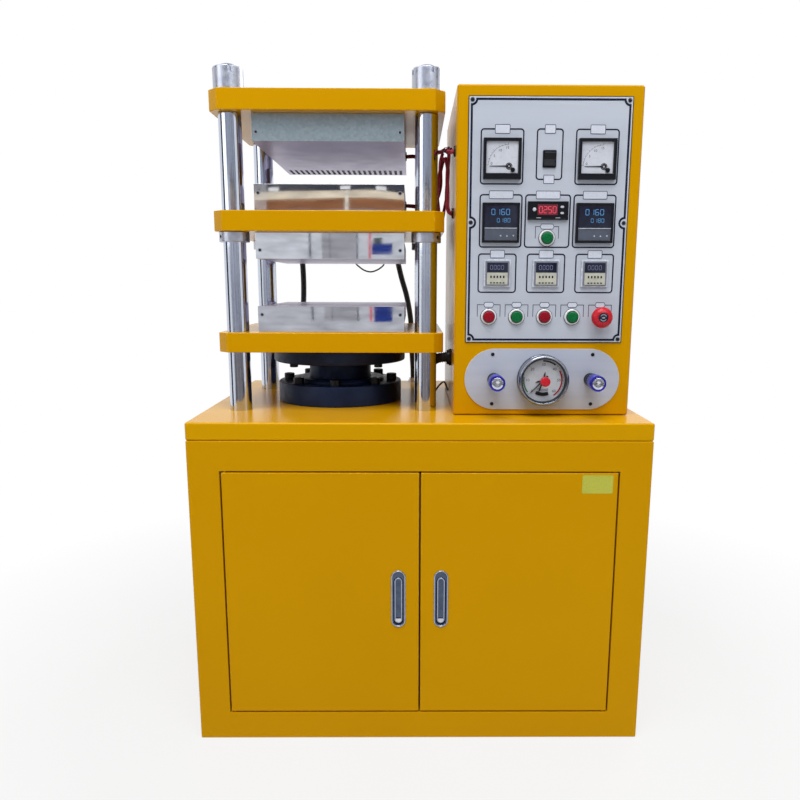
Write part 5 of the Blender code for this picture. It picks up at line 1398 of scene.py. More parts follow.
def digit(value, width, height):
    """A seven-segment numeral round the origin."""
    bar = width * 0.16
    half_w, half_h = width / 2 - bar / 2, height / 2 - bar / 2
    places = {
        "a": (0, half_h, True), "g": (0, 0, True), "d": (0, -half_h, True),
        "f": (-half_w, half_h / 2, False), "b": (half_w, half_h / 2, False),
        "e": (-half_w, -half_h / 2, False), "c": (half_w, -half_h / 2, False),
    }
    strokes = []
    for letter in SEGMENTS[value]:
        x, y, level = places[letter]
        long = (half_w if level else half_h / 2) * 0.86
        size = (long, bar / 2) if level else (bar / 2, long)
        strokes.append(box((x - size[0], y - size[1], 0.0), (x + size[0], y + size[1], STROKE_T)))
    return group(strokes)


def number(row, u, v, out):
    """A row of lit numerals on an instrument whose middle is at u and v."""
    words, width, height, pitch, right, rise = row
    start = u + right - pitch * (len(words) - 1) / 2
    digits = []
    for index, value in enumerate(words):
        digits.append(facing_front(digit(value, width, height), start + index * pitch, v + rise, out))
    return group(digits)


def temperature_controller(side):
    """A controller: moulded case, tinted window with two rows of numerals, and a band of keys."""
    name = "left_temperature_controller" if side < 0 else "right_temperature_controller"
    u, v = side * METER_X, TEMP_Z
    floor = TEMP_T - TEMP_RECESS
    field_w = TEMP_W - 2 * TEMP_FIELD_RIM
    case = tower_box(u, v, TEMP_W, TEMP_H, SEAT, TEMP_T)
    recess = tower_box(u, v, TEMP_W - 2 * TEMP_RIM, TEMP_H - 2 * TEMP_RIM, floor, 2 * TEMP_T)
    body = tower_box(u, v, TEMP_BODY_W, TEMP_BODY_H, -TEMP_BODY_L, SEAT)
    piece = made(f"{name}_case", group([without(case, recess), body]), "frame", "black_plastic", 0.0009)
    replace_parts(piece, name)
    tops = {}
    for part, rise, height, thickness, look, edge in TEMP_FIELDS:
        tops[part] = floor + thickness
        field = tower_box(u, v + rise, field_w, height, floor, tops[part])
        made(f"{name}_{part}", field, "frame", look, edge)
    rows = [number(row, u, v, tops["window"]) for row in TEMP_ROWS]
    made(f"{name}_numerals", group(rows), "frame", "blue_segments")
    arrows = []
    for step, turn in enumerate((90, 0, 180)):
        outline = [(-0.0018, -0.0014), (0.0018, -0.0014), (0.0, 0.0018)]
        arrow = moved(prism(outline, 0.0, 0.0003), Matrix.Rotation(math.radians(turn), 4, "Z"))
        arrows.append(facing_front(arrow, u - 0.0005 + step * 0.0125, v - 0.0245, tops["key_band"]))
    made(f"{name}_arrows", group(arrows), "frame", "pale_plastic")


def cooling_controller():
    """The low controller: red numerals in a dark window, a round key and two small keys."""
    v = CHILL_Z
    floor = CHILL_T - CHILL_RECESS
    case = tower_box(0, v, CHILL_W, CHILL_H, SEAT, CHILL_T)
    recess = tower_box(0, v, CHILL_W - 2 * CHILL_RIM, CHILL_H - 2 * CHILL_RIM, floor, 2 * CHILL_T)
    body = tower_box(0, v, CHILL_BODY_W, CHILL_BODY_H, -CHILL_BODY_L, SEAT)
    whole = group([without(case, recess), body])
    piece = made("cooling_controller_case", whole, "frame", "black_plastic", 0.0005)
    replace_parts(piece, "cooling_controller")
    pane_top = floor + 0.0005
    pane = tower_box(-0.0010, v + 0.0015, 0.0385, 0.0195, floor, pane_top)
    made("cooling_controller_window", pane, "frame", "red_window", 0.0002)
    made("cooling_controller_numerals", number(CHILL_ROW, 0, v, pane_top), "frame", "red_segments")
    key = turned([(0, 0), (0.0034, 0), (0.0034, 0.0008), (0.0028, 0.0012), (0, 0.0012)], 32)
    keys = [facing_front(key, -0.0265, v + 0.0020, floor)]
    for rise in (-0.0045, 0.0070):
        keys.append(facing_front(prism(stadium(0.0066, 0.0040), 0.0, 0.0010), 0.0270, v + rise, floor))
    for reach in (-0.0180, 0.0190):
        dash = prism(rounded(0.0090, 0.0010, 0.0004), 0.0, 0.0003)
        keys.append(facing_front(dash, reach, v - 0.0135, floor))
    made("cooling_controller_keys", group(keys), "frame", "pale_plastic")


def timer(name, u):
    """A timer: pale surround, dark window above, and five setting wheels in a beige block below."""
    v = TIMER_Z
    top = TIMER_T + TIMER_FACE_T
    face_top, pane_top = top - 0.0010, top - 0.0002
    surround = tower_box(u, v, TIMER_W, TIMER_W, SEAT, TIMER_T)
    body = tower_box(u, v, TIMER_BODY_W, TIMER_BODY_W, -TIMER_BODY_L, SEAT)
    piece = made(f"{name}_surround", group([surround, body]), "frame", "pale_plastic", 0.0011)
    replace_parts(piece, name)
    face = tower_box(u, v, TIMER_FACE, TIMER_FACE, TIMER_T, face_top)
    made(f"{name}_face", face, "frame", "timer_grey", 0.0009)
    pane = tower_box(u, v + 0.0110, 0.0405, 0.0185, face_top, pane_top)
    made(f"{name}_window", pane, "frame", "window_black", 0.0003)
    made(f"{name}_numerals", number(TIMER_ROW, u, v, pane_top), "frame", "dim_segments")
    block = tower_box(u, v - 0.0105, 0.0400, 0.0225, face_top, top)
    made(f"{name}_wheel_block", block, "frame", "beige_plastic", 0.0004)
    marks = []
    for wheel in range(WHEELS):
        x = u + (wheel - (WHEELS - 1) / 2) * WHEEL_PITCH
        marks.append(tower_box(x, v - 0.0070, 0.0030, 0.0046, top, top + 0.0002))
        marks.append(tower_box(x, v - 0.0185, 0.0036, 0.0024, top, top + 0.0003))
    made(f"{name}_wheel_windows", group(marks), "frame", "black_ink")


def push_button(name):
    """A push button's cap with a slightly domed face."""
    u, v, body = BUTTONS[name]
    stem_top = BUTTON_TRAVEL + PLAY
    profile = [
        (0, -BUTTON_STEM_L), (BUTTON_STEM_R, -BUTTON_STEM_L), (BUTTON_STEM_R, stem_top), (CAP_R, stem_top),
        (CAP_R, BUTTON_PROUD - 0.0022), (CAP_R - 0.0004, BUTTON_PROUD - 0.0012),
        (CAP_R - 0.0014, BUTTON_PROUD - 0.0005), (CAP_R * 0.6, BUTTON_PROUD - 0.0001), (0, BUTTON_PROUD),
    ]
    shade = "red_plastic" if "stop" in name else "green_plastic"
    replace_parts(made(f"{name}_cap", facing_front(turned(profile, 48), u, v), body, shade), name)


def emergency_stop():
    """The mushroom head with a dark ring and its plated mark of two arrows."""
    under = STOP_PROUD - STOP_HEAD_L
    stem_top = BUTTON_TRAVEL + 0.0012
    level = STOP_PROUD - STOP_DISH_D
    profile = [
        (0, -BUTTON_STEM_L), (BUTTON_STEM_R, -BUTTON_STEM_L), (BUTTON_STEM_R, stem_top),
        (STOP_NECK_R, stem_top), (STOP_NECK_R, under), (STOP_R - 0.0025, under),
        (STOP_R - 0.0006, under + 0.0012), (STOP_R, under + 0.0032), (STOP_R, under + 0.0062),
        (STOP_R - 0.0010, under + 0.0096), (STOP_R - 0.0035, under + 0.0128),
        (STOP_R - 0.0075, STOP_PROUD - 0.0010), (STOP_DISH_R + 0.0008, STOP_PROUD), (STOP_DISH_R, level),
        (0, level),
    ]
    u, v = 2 * BUTTON_PITCH, BUTTON_Z
    head = made("emergency_stop_head", facing_front(turned(profile, 64), u, v), "stop", "stop_red")
    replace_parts(head, "emergency_stop")
    r, top = STOP_DISC_R, STOP_DISC_T
    disc = turned([(0, 0), (r, 0), (r, top / 2), (r - 0.0006, top), (0, top)], 40)
    made("emergency_stop_ring", facing_front(disc, u, v, level), "stop", "window_black")
    shapes = [prism(stadium(0.0062, 0.0030), 0.0, 0.0004)]
    for start in (25, 205):
        shapes.append(ribbon(arc(STOP_ARROW_R, start, start + 125, 12), 0.0018, 0.0, 0.0003, False))
    marks = [facing_front(shape, u, v, level + top) for shape in shapes]
    made("emergency_stop_arrows", group(marks), "stop", "bright_metal")


def valve_plate():
    """The slot-shaped plate round the gauge with the blackened collars of its two valves."""
    deep = 2 * PANEL_T
    bore, r, top = VALVE_STEM_R + PLAY, VALVE_COLLAR_R, VALVE_COLLAR_L
    bores = [facing_front(rod(GAUGE_CASE_R + PLAY, -deep, PANEL_T, 64), 0, PLATE_Z)]
    bores += [facing_front(rod(bore, -deep, PANEL_T, 24), u, PLATE_Z) for u in (-VALVE_X, VALVE_X)]
    sheet = facing_front(prism(stadium(PLATE_W, PLATE_HEIGHT, 28), -PANEL_T, 0), 0, PLATE_Z)
    sheet = made("valve_plate_sheet", without(sheet, group(bores)), "frame", "plate_aluminium", 0.0004)
    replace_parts(sheet, "valve_plate")
    profile = [
        (bore, 0), (r, 0), (r, 0.004), (r - 0.0016, 0.0046), (r - 0.0016, 0.0062), (r - 0.0006, 0.0068),
        (r - 0.0006, top - 0.001), (r - 0.0016, top), (bore, top),
    ]
    collars = [facing_front(turned(profile, 48), u, PLATE_Z) for u in (-VALVE_X, VALVE_X)]
    made("valve_collars", group(collars), "frame", "dark_screw")


def valve_knob(side):
    """A long anodised knob on its dark sleeve, with turned grooves and a bright face."""
    body = "pressure_valve" if side < 0 else "return_valve"
    name = f"{body}_knob"
    low, r, top, foot = VALVE_COLLAR_L + SEAT, VALVE_R, VALVE_PROUD, VALVE_SLEEVE

    def piece(part, profile, segments, look, out=0.0):
        """A turned piece of the knob."""
        shape = facing_front(turned(profile, segments), side * VALVE_X, PLATE_Z, out)
        return made(f"{name}_{part}", shape, body, look)

    piece("sleeve", [
        (0, -VALVE_STEM_L), (VALVE_STEM_R, -VALVE_STEM_L), (VALVE_STEM_R, low), (r - 0.0012, low),
        (r, low + 0.0012), (r, foot - 0.0012), (r - 0.0010, foot), (0, foot),
    ], 56, "dark_screw")
    profile = [(0, foot), (r - 0.0010, foot), (r, foot + 0.0012)]
    for level in VALVE_GROOVES:
        wider = VALVE_R + VALVE_FLARE
        profile += [(r, level), (r - 0.0008, level + 0.0007)]
        profile += [(wider - 0.0008, level + 0.0019), (wider, level + 0.0026)]
        r = wider
    profile += [(r, top - 0.0018), (r - 0.0005, top - 0.0006), (r - 0.0018, top), (r - 0.0034, top)]
    profile += [(r - 0.0040, top - 0.0007), (0, top - 0.0007)]
    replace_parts(piece("grip", profile, 56, "blue_anodised"), name)
    piece("face", [
        (0, 0), (r - 0.0042, 0), (r - 0.0042, 0.0002), (r - 0.0048, 0.0006), (0.0014, 0.0006),
        (0.0008, 0.0001), (0, 0.0001),
    ], 48, "bright_metal", top - 0.0007)


def gauge():
    """The contact gauge: plated case with a double bezel, white dial and black seals."""
    dial = GAUGE_PROUD - GAUGE_DIAL_DEPTH
    r, top = GAUGE_R, GAUGE_PROUD
    profile = [
        (0, -GAUGE_CASE_L), (GAUGE_CASE_R, -GAUGE_CASE_L), (GAUGE_CASE_R, SEAT), (r - 0.0010, SEAT),
        (r, 0.0016), (r, 0.0100), (r - 0.0012, 0.0112), (r - 0.0012, 0.0140), (r, 0.0152), (r, top - 0.0034),
        (r - 0.0007, top - 0.0014), (r - 0.0020, top - 0.0002), (r - 0.0031, top), (r - 0.0042, top - 0.0006),
        (r - 0.0046, top - 0.0022), (r - 0.0052, top - 0.0026), (r - 0.0060, top - 0.0022),
        (GAUGE_DIAL_R, top - 0.0030), (GAUGE_DIAL_R, dial), (0, dial),
    ]
    case = made("gauge_case", facing_front(turned(profile, 96), 0, PLATE_Z), "frame", "gauge_steel")
    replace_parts(case, "pressure_gauge")
    card = tube(GAUGE_DIAL_R - 0.0003, GAUGE_POST_R, 0.0, PLAY, 72)
    made("gauge_dial", facing_front(card, 0, PLATE_Z, dial), "frame", "gauge_white")
    post = tube(GAUGE_POST_R, GAUGE_POST_BORE_R, 0.0, GAUGE_POST_L, 32)
    made("gauge_post", facing_front(post, 0, PLATE_Z, dial), "frame", "bright_metal")
    gauge_scale(dial + PLAY)
    gauge_contacts(dial + PLAY)
    rings = [
        tube(GAUGE_DIAL_R + 0.0012, GAUGE_DIAL_R - 0.0008, dial, top - 0.0020, 72),
        tube(r + 0.0003, r - 0.0008, 0.0002, 0.0018, 72),
        tube(r - 0.0002, r - 0.0013, 0.0112, 0.0140, 72),
    ]
    made("gauge_seals", group([facing_front(ring, 0, PLATE_Z) for ring in rings]), "frame", "black_rubber")
    gauge_pointer()


def gauge_scale(level):
    """The gauge's coloured arcs, its fine scale and its numbers."""
    def sector(radius, width, start, end):
        line = ribbon(arc(radius, start, end, 30), width, 0.0, ARC_T, False)
        return facing_front(line, 0, PLATE_Z, level)

    made("gauge_green_arc", sector(GAUGE_ARC_R, 0.0022, 171, 218), "frame", "green_ink")
    made("gauge_red_arc", sector(0.0372, 0.0030, -55, 31), "frame", "red_ink")
    end = POINTER_REST - POINTER_SWEEP
    marks = [sector(GAUGE_ARC_R, 0.0028, 52, 92), sector(GAUGE_SCALE_R, 0.0004, end, POINTER_REST)]
    for step in range(31):
        angle = POINTER_REST - POINTER_SWEEP * step / 30
        inner = GAUGE_SCALE_R - (0.0033 if step % 5 == 0 else 0.0017)
        path = [spot(inner, angle), spot(GAUGE_SCALE_R, angle)]
        line = ribbon(path, MARK_W, 0.0, GAUGE_MARK_T, False)
        marks.append(facing_front(line, 0, PLATE_Z, level))
    for step in range(7):
        x, y = spot(GAUGE_NUMBER_R, POINTER_REST - POINTER_SWEEP * step / 6)
        marks.append(lettering(str(10 * step), GAUGE_NUMBER_H, x, PLATE_Z + y, level))
    made("gauge_scale", group(marks), "frame", "black_ink")


def gauge_contacts(level):
    """The contact arms, their block with its studs and the hairsprings' arcs."""
    arms = []
    for angle, reach in ((196.0, 0.016), (250.0, 0.026), (78.0, 0.017)):
        middle = reach * 0.7
        arm = prism([
            (0.005, -0.0011), (middle, -0.0016), (reach, -0.0003), (reach, 0.0003), (middle, 0.0016),
            (0.005, 0.0011),
        ], 0.0, 0.0008)
        turn = Matrix.Rotation(math.radians(angle), 4, "Z")
        arms.append(facing_front(moved(arm, turn), 0, PLATE_Z, level + 0.0005))
    block = prism(arc(0.0315, 240, 292, 12) + arc(0.0245, 292, 240, 8), 0.0, 0.0014)
    arms.append(facing_front(block, 0, PLATE_Z, level))
    for reach in (0.0190, 0.0215):
        spring = ribbon(arc(reach, 236, 300, 10), 0.0007, 0.0, 0.0006, False)
        arms.append(facing_front(spring, 0, PLATE_Z, level))
    for angle in (242, 256, 270, 284):
        x, y = spot(0.0275, angle)
        arms.append(facing_front(rod(0.0016, 0.0, 0.0026, 16), x, PLATE_Z + y, level))
    made("gauge_contact_arms", group(arms), "frame", "black_ink")


def gauge_pointer():
    """The tapered pointer with its counterweight, on a hub that turns on the post."""
    low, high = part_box("gauge_pointer")
    behind, front = PANEL_FRONT - high.y, PANEL_FRONT - low.y
    bore = GAUGE_POST_R + SEAT
    upper = [(POINTER_REACH, 0.0004), (0.0, 0.0016), (-POINTER_TAIL * 0.5, 0.0012), (-POINTER_TAIL, 0.0022)]
    lower = [(x, -y) for x, y in reversed(upper)]
    blade = without(prism(lower + upper, behind, front), rod(bore, behind - 0.01, front + 0.01, 32))
    hub = tube(0.0050, bore, behind, front + PLAY, 40)
    turn = Matrix.Rotation(math.radians(POINTER_REST), 4, "Z")
    hand = facing_front(moved(group([blade, hub]), turn), 0, PLATE_Z)
    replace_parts(made("gauge_hand", hand, "pointer", "black_ink"), "gauge_pointer")


def gauge_knob():
    """The red knob over the gauge's glass, finely fluted, on its plated shaft."""
    dial = GAUGE_PROUD - GAUGE_DIAL_DEPTH
    top = GAUGE_PROUD + KNOB_PROUD
    low = top - KNOB_L
    count = 2 * KNOB_FLUTES
    outline = [spot(KNOB_R - 0.0003 * (step % 2), 360 * step / count) for step in range(count)]
    rings = []
    for scale, level in (
        (0.97, low), (1.0, low + 0.0006), (1.0, top - 0.0014), (0.95, top - 0.0004), (0.86, top),
    ):
        rings.append([(x * scale, y * scale, level) for x, y in outline])
    grip = made("gauge_knob_grip", facing_front(lofted(rings), 0, PLATE_Z), "setting_knob", "stop_red")
    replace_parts(grip, "gauge_setting_knob")
    shaft = rod(KNOB_SHAFT_R, dial - GAUGE_POST_L, low, 20)
    made("gauge_knob_shaft", facing_front(shaft, 0, PLATE_Z), "setting_knob", "bright_metal")


# The routes of the cords, in metres
UPPER_WIRE = [
    (-0.0317, 0.120, 1.2213), (-0.018, 0.120, 1.2213), (0.006, 0.092, 1.2153), (0.030, 0.030, 1.212),
    (0.0500, -0.025, 1.209), (0.0565, -0.075, 1.202), (0.0560, -0.125, 1.191), (0.0565, -0.152, 1.185),
    (0.0595, -0.167, 1.183), (0.0640, -0.172, 1.1825), (0.0677, -0.172, 1.1825),
]
MIDDLE_WIRE = [
    (-0.0317, 0.060, 1.1019), (-0.018, 0.060, 1.1019), (0.014, 0.048, 1.0999), (0.036, 0.026, 1.108),
    (0.0450, 0.008, 1.136), (0.0460, -0.010, 1.170), (0.0500, -0.045, 1.188), (0.0555, -0.088, 1.176),
    (0.0565, -0.106, 1.140), (0.0560, -0.113, 1.104), (0.0560, -0.117, 1.086), (0.0590, -0.1195, 1.0735),
    (0.0640, -0.120, 1.0695), (0.0677, -0.120, 1.0695),
]
SERVICE_LOOP = [
    (0.0490, -0.030, 1.2030), (0.0430, -0.036, 1.180), (0.0400, -0.040, 1.140), (0.0400, -0.046, 1.100),
    (0.0425, -0.054, 1.068), (0.0480, -0.064, 1.062), (0.0520, -0.074, 1.085), (0.0560, -0.092, 1.130),
    (0.0580, -0.110, 1.165), (0.0580, -0.124, 1.1850),
]
LINK_HOSE = [
    (-0.300, 0.2073, 0.9918), (-0.300, 0.2213, 0.9918), (-0.300, 0.2433, 0.9758), (-0.300, 0.2523, 0.9418),
    (-0.300, 0.2523, 0.9128), (-0.300, 0.2433, 0.8788), (-0.300, 0.2213, 0.8628), (-0.300, 0.2073, 0.8628),
]
SUPPLY_HOSE = [
    (-0.055, 0.2073, 0.9918), (-0.055, 0.2213, 0.9918), (-0.052, 0.246, 0.9738), (-0.044, 0.256, 0.940),
    (-0.030, 0.262, 0.890), (-0.020, 0.270, 0.828), (-0.017, 0.282, 0.750), (-0.014, 0.288, 0.700),
    (-0.014, 0.288, 0.6643),
]
CONDUIT = [
    (0.0677, -0.100, 0.770), (0.056, -0.100, 0.770), (0.034, -0.097, 0.765), (0.019, -0.090, 0.748),
    (0.012, -0.085, 0.720), (0.012, -0.085, 0.690), (0.012, -0.085, 0.6643),
]
SENSOR_WIRE = [
    (-0.160, 0.1965, 0.978), (-0.156, 0.212, 0.972), (-0.140, 0.226, 0.9600), (-0.122, 0.230, 0.9560),
    (-0.104, 0.226, 0.9620), (-0.090, 0.212, 0.972), (-0.088, 0.1965, 0.978),
]
BENCH_WIRE = [
    (0.030, 0.010, 0.6668), (0.040, 0.004, 0.684), (0.050, 0.0, 0.697), (0.058, 0.0, 0.702),
    (0.063, 0.0, 0.694), (0.0665, 0.0, 0.682),
]


def smoothed(points, pitch):
    """Points along a smooth curve through the given ones, about a pitch apart."""
    ends = [Vector(point) for point in points]
    slopes = [ends[1] - ends[0]]
    slopes += [(after - before) / 2 for before, after in zip(ends, ends[2:])]
    slopes.append(ends[-1] - ends[-2])
    smooth = []
    for here, there, leave, arrive in zip(ends, ends[1:], slopes, slopes[1:]):
        steps = max(2, round((there - here).length / pitch) + 1)
        smooth += interpolate_bezier(here, here + leave / 3, there - arrive / 3, there, steps)[:-1]
    smooth.append(ends[-1])
    return smooth


def carried(path):
    """For each point of a path its direction and two more at right angles, which don't twist."""
    aheads = [(after - before).normalized() for before, after in zip(path, path[1:])]
    aheads.append(aheads[-1])
    side = aheads[0].orthogonal().normalized()
    frames = []
    for ahead in aheads:
        side = (side - ahead * side.dot(ahead)).normalized()
        frames.append((ahead, side, ahead.cross(side)))
    return frames


def swept(path, radii, sides=14):
    """A round cord along a path, its radius given for each point."""
    rings = []
    for here, (_, side, up), radius in zip(path, carried(path), radii):
        angles = [math.tau * index / sides for index in range(sides)]
        rings.append([here + radius * (side * math.cos(a) + up * math.sin(a)) for a in angles])
    return lofted(rings)


def strands(points, count, strand_r, bundle_r, twist, phase=0.0):
    """Several thin wires that wind loosely round one route."""
    path = smoothed(points, ROUTE_STEP)
    frames = carried(path)
    shapes = []
    for index in range(count):
        shifted = []
        length = 0.0
        for step, here in enumerate(path):
            length += (here - path[max(step - 1, 0)]).length
            angle = phase + math.tau * (index / count + length / twist)
            _, side, up = frames[step]
            shifted.append(here + bundle_r * (side * math.cos(angle) + up * math.sin(angle)))
        shapes.append(swept(shifted, [strand_r] * len(shifted), 8))
    return group(shapes)


def wires():
    """Both bundles of heater wires with their ties, and the spare strand from the upper guard."""
    bundle = strands(UPPER_WIRE, WIRES, WIRE_R, BUNDLE_R, UPPER_TWIST)
    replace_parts(made("upper_wire_strands", bundle, "frame", "red_wire"), "upper_heater_wires")
    bundle = strands(MIDDLE_WIRE, WIRES, WIRE_R, BUNDLE_R, MIDDLE_TWIST, 0.8)
    middle = made("middle_wire_strands", bundle, "frame", "red_wire")
    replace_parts(middle, "middle_heater_wires")
    middle.parent = None
    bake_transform(middle)
    spare = strands(SERVICE_LOOP, LOOP_WIRES, LOOP_WIRE_R, LOOP_BUNDLE_R, LOOP_TWIST, 0.4)
    made("service_loop", spare, "frame", "red_wire")
    wire_ties()


def wire_ties():
    """Cable ties round the upper bundle."""
    path = smoothed(UPPER_WIRE, ROUTE_STEP)
    frames = carried(path)
    ties = []
    for share in TIE_SHARES:
        index = int(share * (len(path) - 1))
        ahead, side, up = frames[index]
        turn = Matrix((side, up, ahead)).transposed().to_4x4()
        band = tube(0.0060, 0.0048, -0.0016, 0.0016, 24)
        head = box((0.0054, -0.0020, -0.0022), (0.0094, 0.0020, 0.0022))
        ties.append(moved(group([band, head]), turn, path[index]))
    made("wire_ties", group(ties), "frame", "black_plastic")


def hoses():
    """The two cooling hoses with their crimped ends, and the corrugated conduit."""
    for name, node, points, bodies in (
        ("link_hose_line", "link_hose", LINK_HOSE, ("middle", "ram")),
        ("supply_hose_line", "supply_hose", SUPPLY_HOSE, ("middle", "frame")),
    ):
        path = smoothed(points, ROUTE_STEP)
        total = sum((b - a).length for a, b in zip(path, path[1:]))
        run = 0.0
        radii = []
        for before, here in zip([path[0]] + path, path):
            run += (here - before).length
            radii.append(CRIMP_R if min(run, total - run) < CRIMP_L else HOSE_R)
        hose = made(name, swept(path, radii, 20), bodies[0], "black_rubber")
        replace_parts(hose, node)
        hose.parent = None
        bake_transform(hose)
    path = smoothed(CONDUIT, CONDUIT_STEP)
    radii = [CONDUIT_CREST_R if (index // 2) % 2 else CONDUIT_VALLEY_R for index in range(len(path))]
    pipe = made("conduit_hose", swept(path, radii, 24), "frame", "black_rubber", sharp=60)
    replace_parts(pipe, "wiring_conduit")


def glands():
    """Nuts and bushes where the cords pass through the tower and the bench."""
    upright = Matrix.Identity(4)
    inlet = (TOWER_X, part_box("control_tower")[1].y - INLET_L, TOWER_Z + INLET_UP)
    nuts = []
    for place, turn, sizes, hexagonal in (
        (inlet, TO_BACK, INLET_GLAND, True),
        (CONDUIT[0], TO_LEFT, CONDUIT_GLANDS[0], True),
        (CONDUIT[-1], upright, CONDUIT_GLANDS[1], True),
        (UPPER_WIRE[-1], TO_LEFT, WIRE_GLAND, False),
        (MIDDLE_WIRE[-1], TO_LEFT, WIRE_GLAND, False),
    ):
        radius, bore, length = sizes
        ring = turned([
            (bore, -0.0002), (radius, -0.0002), (radius, length * 0.6), (radius - 0.0008, length),
            (bore, length),
        ], 32)
        if hexagonal:
            ring = group([ring, tube(radius * 1.12, bore, 0.0, length * 0.45, 6)])
        nuts.append(moved(ring, turn, place))
    made("cord_glands", group(nuts), "frame", "black_plastic", sharp=35)
    fitting = group([tube(0.0125, 0.0074, -0.0003, 0.0050, 6), tube(0.0110, 0.0074, 0.0050, 0.0106, 32)])
    made("bench_hose_fitting", moved(fitting, offset=SUPPLY_HOSE[-1]), "frame", "bright_metal", sharp=35)


def thin_wires():
    """The sensor wire that hangs below the middle platen and the loose end on the bench."""
    for name, points, radius, body in (
        ("sensor_wire", SENSOR_WIRE, SENSOR_WIRE_R, "middle"),
        ("bench_wire", BENCH_WIRE, BENCH_WIRE_R, "frame"),
    ):
        path = smoothed(points, THIN_STEP)
        made(name, swept(path, [radius] * len(path), 8), body, "black_rubber")


def door_sticker():
    """A bare sticker on the right door."""
    field = prism(rounded(STICKER_W, STICKER_H, STICKER_R), 0.0, STICKER_T)
    field = moved(field, TO_FRONT, (STICKER_X, LOCK_FRONT, STICKER_Z))
    made("door_sticker", field, "right_door", "sticker")


def camera():
    """The camera at the photo's angle."""
    data = bpy.data.cameras.new("camera")
    data.sensor_width = SENSOR
    data.lens = SENSOR * CAMERA_FOCAL
    data.shift_x, data.shift_y = CAMERA_SHIFT
    data.clip_end = 50.0
    thing = bpy.data.objects.new("camera", data)
    ahead = Vector((
        math.sin(CAMERA_YAW) * math.cos(CAMERA_PITCH), math.cos(CAMERA_YAW) * math.cos(CAMERA_PITCH),
        -math.sin(CAMERA_PITCH),
    ))
    level = Vector((math.cos(CAMERA_YAW), -math.sin(CAMERA_YAW), 0.0))
    upright = level.cross(ahead)
    right = level * math.cos(CAMERA_ROLL) + upright * math.sin(CAMERA_ROLL)
    up = upright * math.cos(CAMERA_ROLL) - level * math.sin(CAMERA_ROLL)
    thing.matrix_world = Matrix.Translation(CAMERA_PLACE) @ Matrix((right, up, -ahead)).transposed().to_4x4()
    bpy.context.scene.collection.objects.link(thing)
    bpy.context.scene.camera = thing


def lamp(name, place, target, size, power):
    """A square soft light that points at a target."""
    data = bpy.data.lights.new(name, "AREA")
    data.size = size
    data.energy = power
    thing = bpy.data.objects.new(name, data)
    thing.location = place
    thing.rotation_euler = (Vector(target) - Vector(place)).to_track_quat("-Z", "Y").to_euler()
    bpy.context.scene.collection.objects.link(thing)


def background_share(tree):
    """1 for rays that show the background: from the camera, from metal and through glass."""
    path = tree.nodes.new("ShaderNodeLightPath")
    total = path.outputs["Is Camera Ray"]
    for name in ("Is Glossy Ray", "Is Transmission Ray"):
        larger = tree.nodes.new("ShaderNodeMath")
        larger.operation = "MAXIMUM"
        tree.links.new(total, larger.inputs[0])
        tree.links.new(path.outputs[name], larger.inputs[1])
        total = larger.outputs["Value"]
    return total


def studio():
    """Soft light, a white surround and a pale floor that keeps the shadow."""
    world = bpy.data.worlds.new("studio")
    bpy.context.scene.world = world
    world.use_nodes = True
    tree = world.node_tree
    level = tree.nodes.new("ShaderNodeMapRange")
    level.inputs["To Min"].default_value = SURROUND_LIGHT
    level.inputs["To Max"].default_value = 1.0
    tree.links.new(background_share(tree), level.inputs["Value"])
    back = tree.nodes["Background"]
    back.inputs["Color"].default_value = (1.0, 1.0, 1.0, 1.0)
    tree.links.new(level.outputs["Result"], back.inputs["Strength"])
    for name, place, aim, width, power in LAMPS:
        lamp(name, place, (0.0, 0.0, aim), width, power)
    floor()
    room()
    bpy.context.scene.view_settings.view_transform = "Standard"


def stage_sheet(name, size, place, turn, material):
    """A flat sheet that isn't part of the object."""
    shape = bmesh.new()
    bmesh.ops.create_grid(shape, x_segments=1, y_segments=1, size=0.5)
    shape.transform(Matrix.Translation(place) @ turn @ Matrix.Diagonal((size[0], size[1], 1.0, 1.0)))
    mesh = bpy.data.meshes.new(name)
    shape.to_mesh(mesh)
    shape.free()
    mesh.materials.append(material)
    sheet = bpy.data.objects.new(name, mesh)
    bpy.context.scene.collection.objects.link(sheet)


def mix_surfaces(look, factor, first, second):
    """Mixes two surfaces by a factor and gives the result to the material."""
    mixed = look.node("MixShader", {})
    look.link(factor, mixed.inputs["Fac"])
    look.link(first, mixed.inputs[1])
    look.link(second, mixed.inputs[2])
    look.link(mixed.outputs["Shader"], look.tree.nodes["Material Output"].inputs["Surface"])


def floor():
    """A pale floor that keeps the object's shadow and turns into the white surround away from it."""
    pale = Look("floor_white", (195, 195, 195), 0.9)
    pale.vary(pale.noise(3.0), (192, 192, 192), (198, 198, 198))
    reach = pale.node("VectorMath", {})
    reach.operation = "LENGTH"
    pale.link(pale.place, reach.inputs[0])
    shown = pale.node("Math", {})
    shown.operation = "MULTIPLY"
    pale.link(pale.ranged(reach.outputs["Value"], FLOOR_WHITE, 1.0, FLOOR_NEAR, FLOOR_FAR), shown.inputs[0])
    pale.link(background_share(pale.tree), shown.inputs[1])
    glow = pale.node("Emission", {"Strength": 1.0})
    mix_surfaces(pale, shown.outputs["Value"], pale.shader.outputs["BSDF"], glow.outputs["Emission"])
    stage_sheet("floor", (FLOOR_W, FLOOR_W), (0, 0, -FLOOR_DROP), Matrix.Identity(4), pale.material)


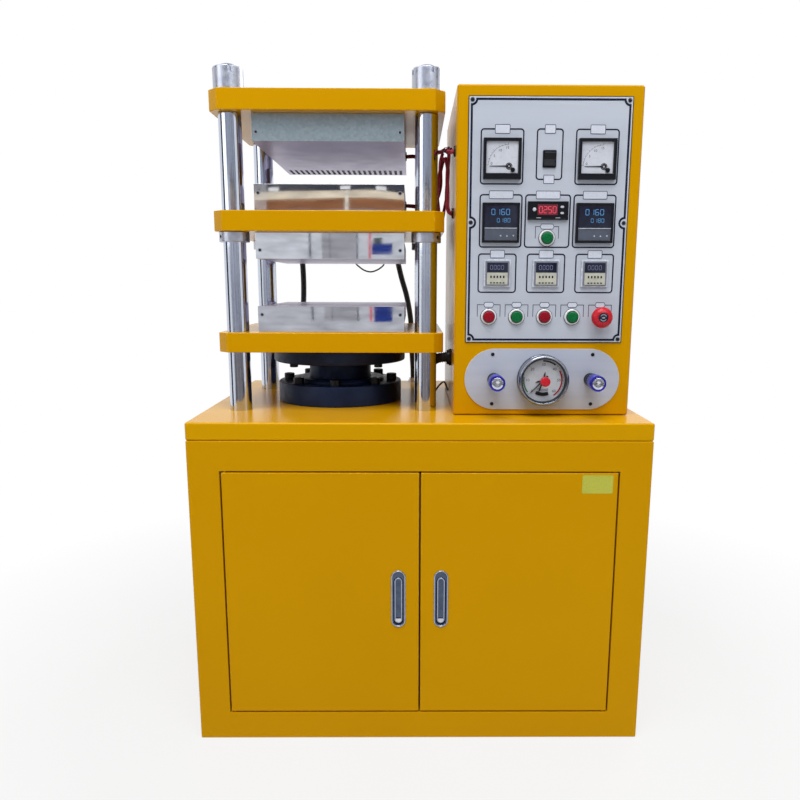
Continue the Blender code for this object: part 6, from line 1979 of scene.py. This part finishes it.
def room_card(name, shade, place, size, turn=TO_FRONT):
    """A card of the room in front of the machine, which only reflections show."""
    look = Look(name, shade, 0.9)
    look.vary(look.noise(6.0, (1, 1, 4)), tuple(round(value * 0.8) for value in shade), shade)
    path = look.node("LightPath", {})
    glow = look.node("Emission", {})
    look.link(look.shader.inputs["Base Color"].links[0].from_socket, glow.inputs["Color"])
    clear = look.node("BsdfTransparent", {})
    mix_surfaces(look, path.outputs["Is Glossy Ray"], clear.outputs["BSDF"], glow.outputs["Emission"])
    stage_sheet(name, size, place, turn, look.material)


def room():
    """What the polished parts mirror: a grey room with a pale wall, a warm shelf, dark gaps and lamps."""
    for cards, nearer in ((ROOM_CARDS, 0.0), (ROOM_THINGS, THINGS_NEARER)):
        for name, shade, x, z, width, height in cards:
            room_card(f"room_{name}", shade, (x, ROOM_Y + nearer, z), (width, height))
    for index, (x, z) in enumerate(ROOM_LAMPS):
        place = (x, ROOM_Y + LAMPS_NEARER, z)
        room_card(f"room_lamp_{index + 1}", (255, 255, 255), place, ROOM_LAMP_SIZE)
    for index, (x, width, shade) in enumerate(ROOM_POSTS):
        place = (x, ROOM_Y + POSTS_NEARER, POST_Z)
        room_card(f"room_post_{index + 1}", shade, place, (width, POST_H))
    for side in (-1, 1):
        x = side * ROOM_SIDE_X
        room_card(f"room_side_{side + 2}", (40, 42, 52), (x, -0.4, 1.0), (2.4, 0.5), TO_RIGHT)
        room_card(f"room_low_side_{side + 2}", (56, 58, 70), (x, -1.45, 0.13), (0.46, 2.6), TO_RIGHT)


def write_sizes():
    """Brings the view layer up to date; it works out no boxes and writes nothing."""
    bpy.context.view_layer.update()


def build():
    """Every piece of the scene."""
    camera()
    cabinet()
    for side in (-1, 1):
        lock(side)
        lever(side)
        meter(side)
        temperature_controller(side)
        valve_knob(side)
    columns()
    beams()
    platen("upper_platen", "frame", faces_down=True, heated=True)
    platen("middle_upper_platen", "middle", faces_down=False, heated=True)
    platen("middle_lower_platen", "middle", faces_down=True, heated=False)
    platen("lower_platen", "ram", faces_down=False, heated=False)
    ram()
    cylinder()
    tower()
    control_panel()
    printed_lines()
    panel_screws()
    cooling_controller()
    for name, u in (("left_timer", -TIMER_X), ("middle_timer", 0.0), ("right_timer", TIMER_X)):
        timer(name, u)
    for name in BUTTONS:
        push_button(name)
    emergency_stop()
    valve_plate()
    gauge()
    gauge_knob()
    wires()
    hoses()
    glands()
    thin_wires()
    door_sticker()
    keep("main_switch", "black_plastic")
    keep("hydraulic_power_unit", "grey_enamel")
    studio()


build()
write_sizes()
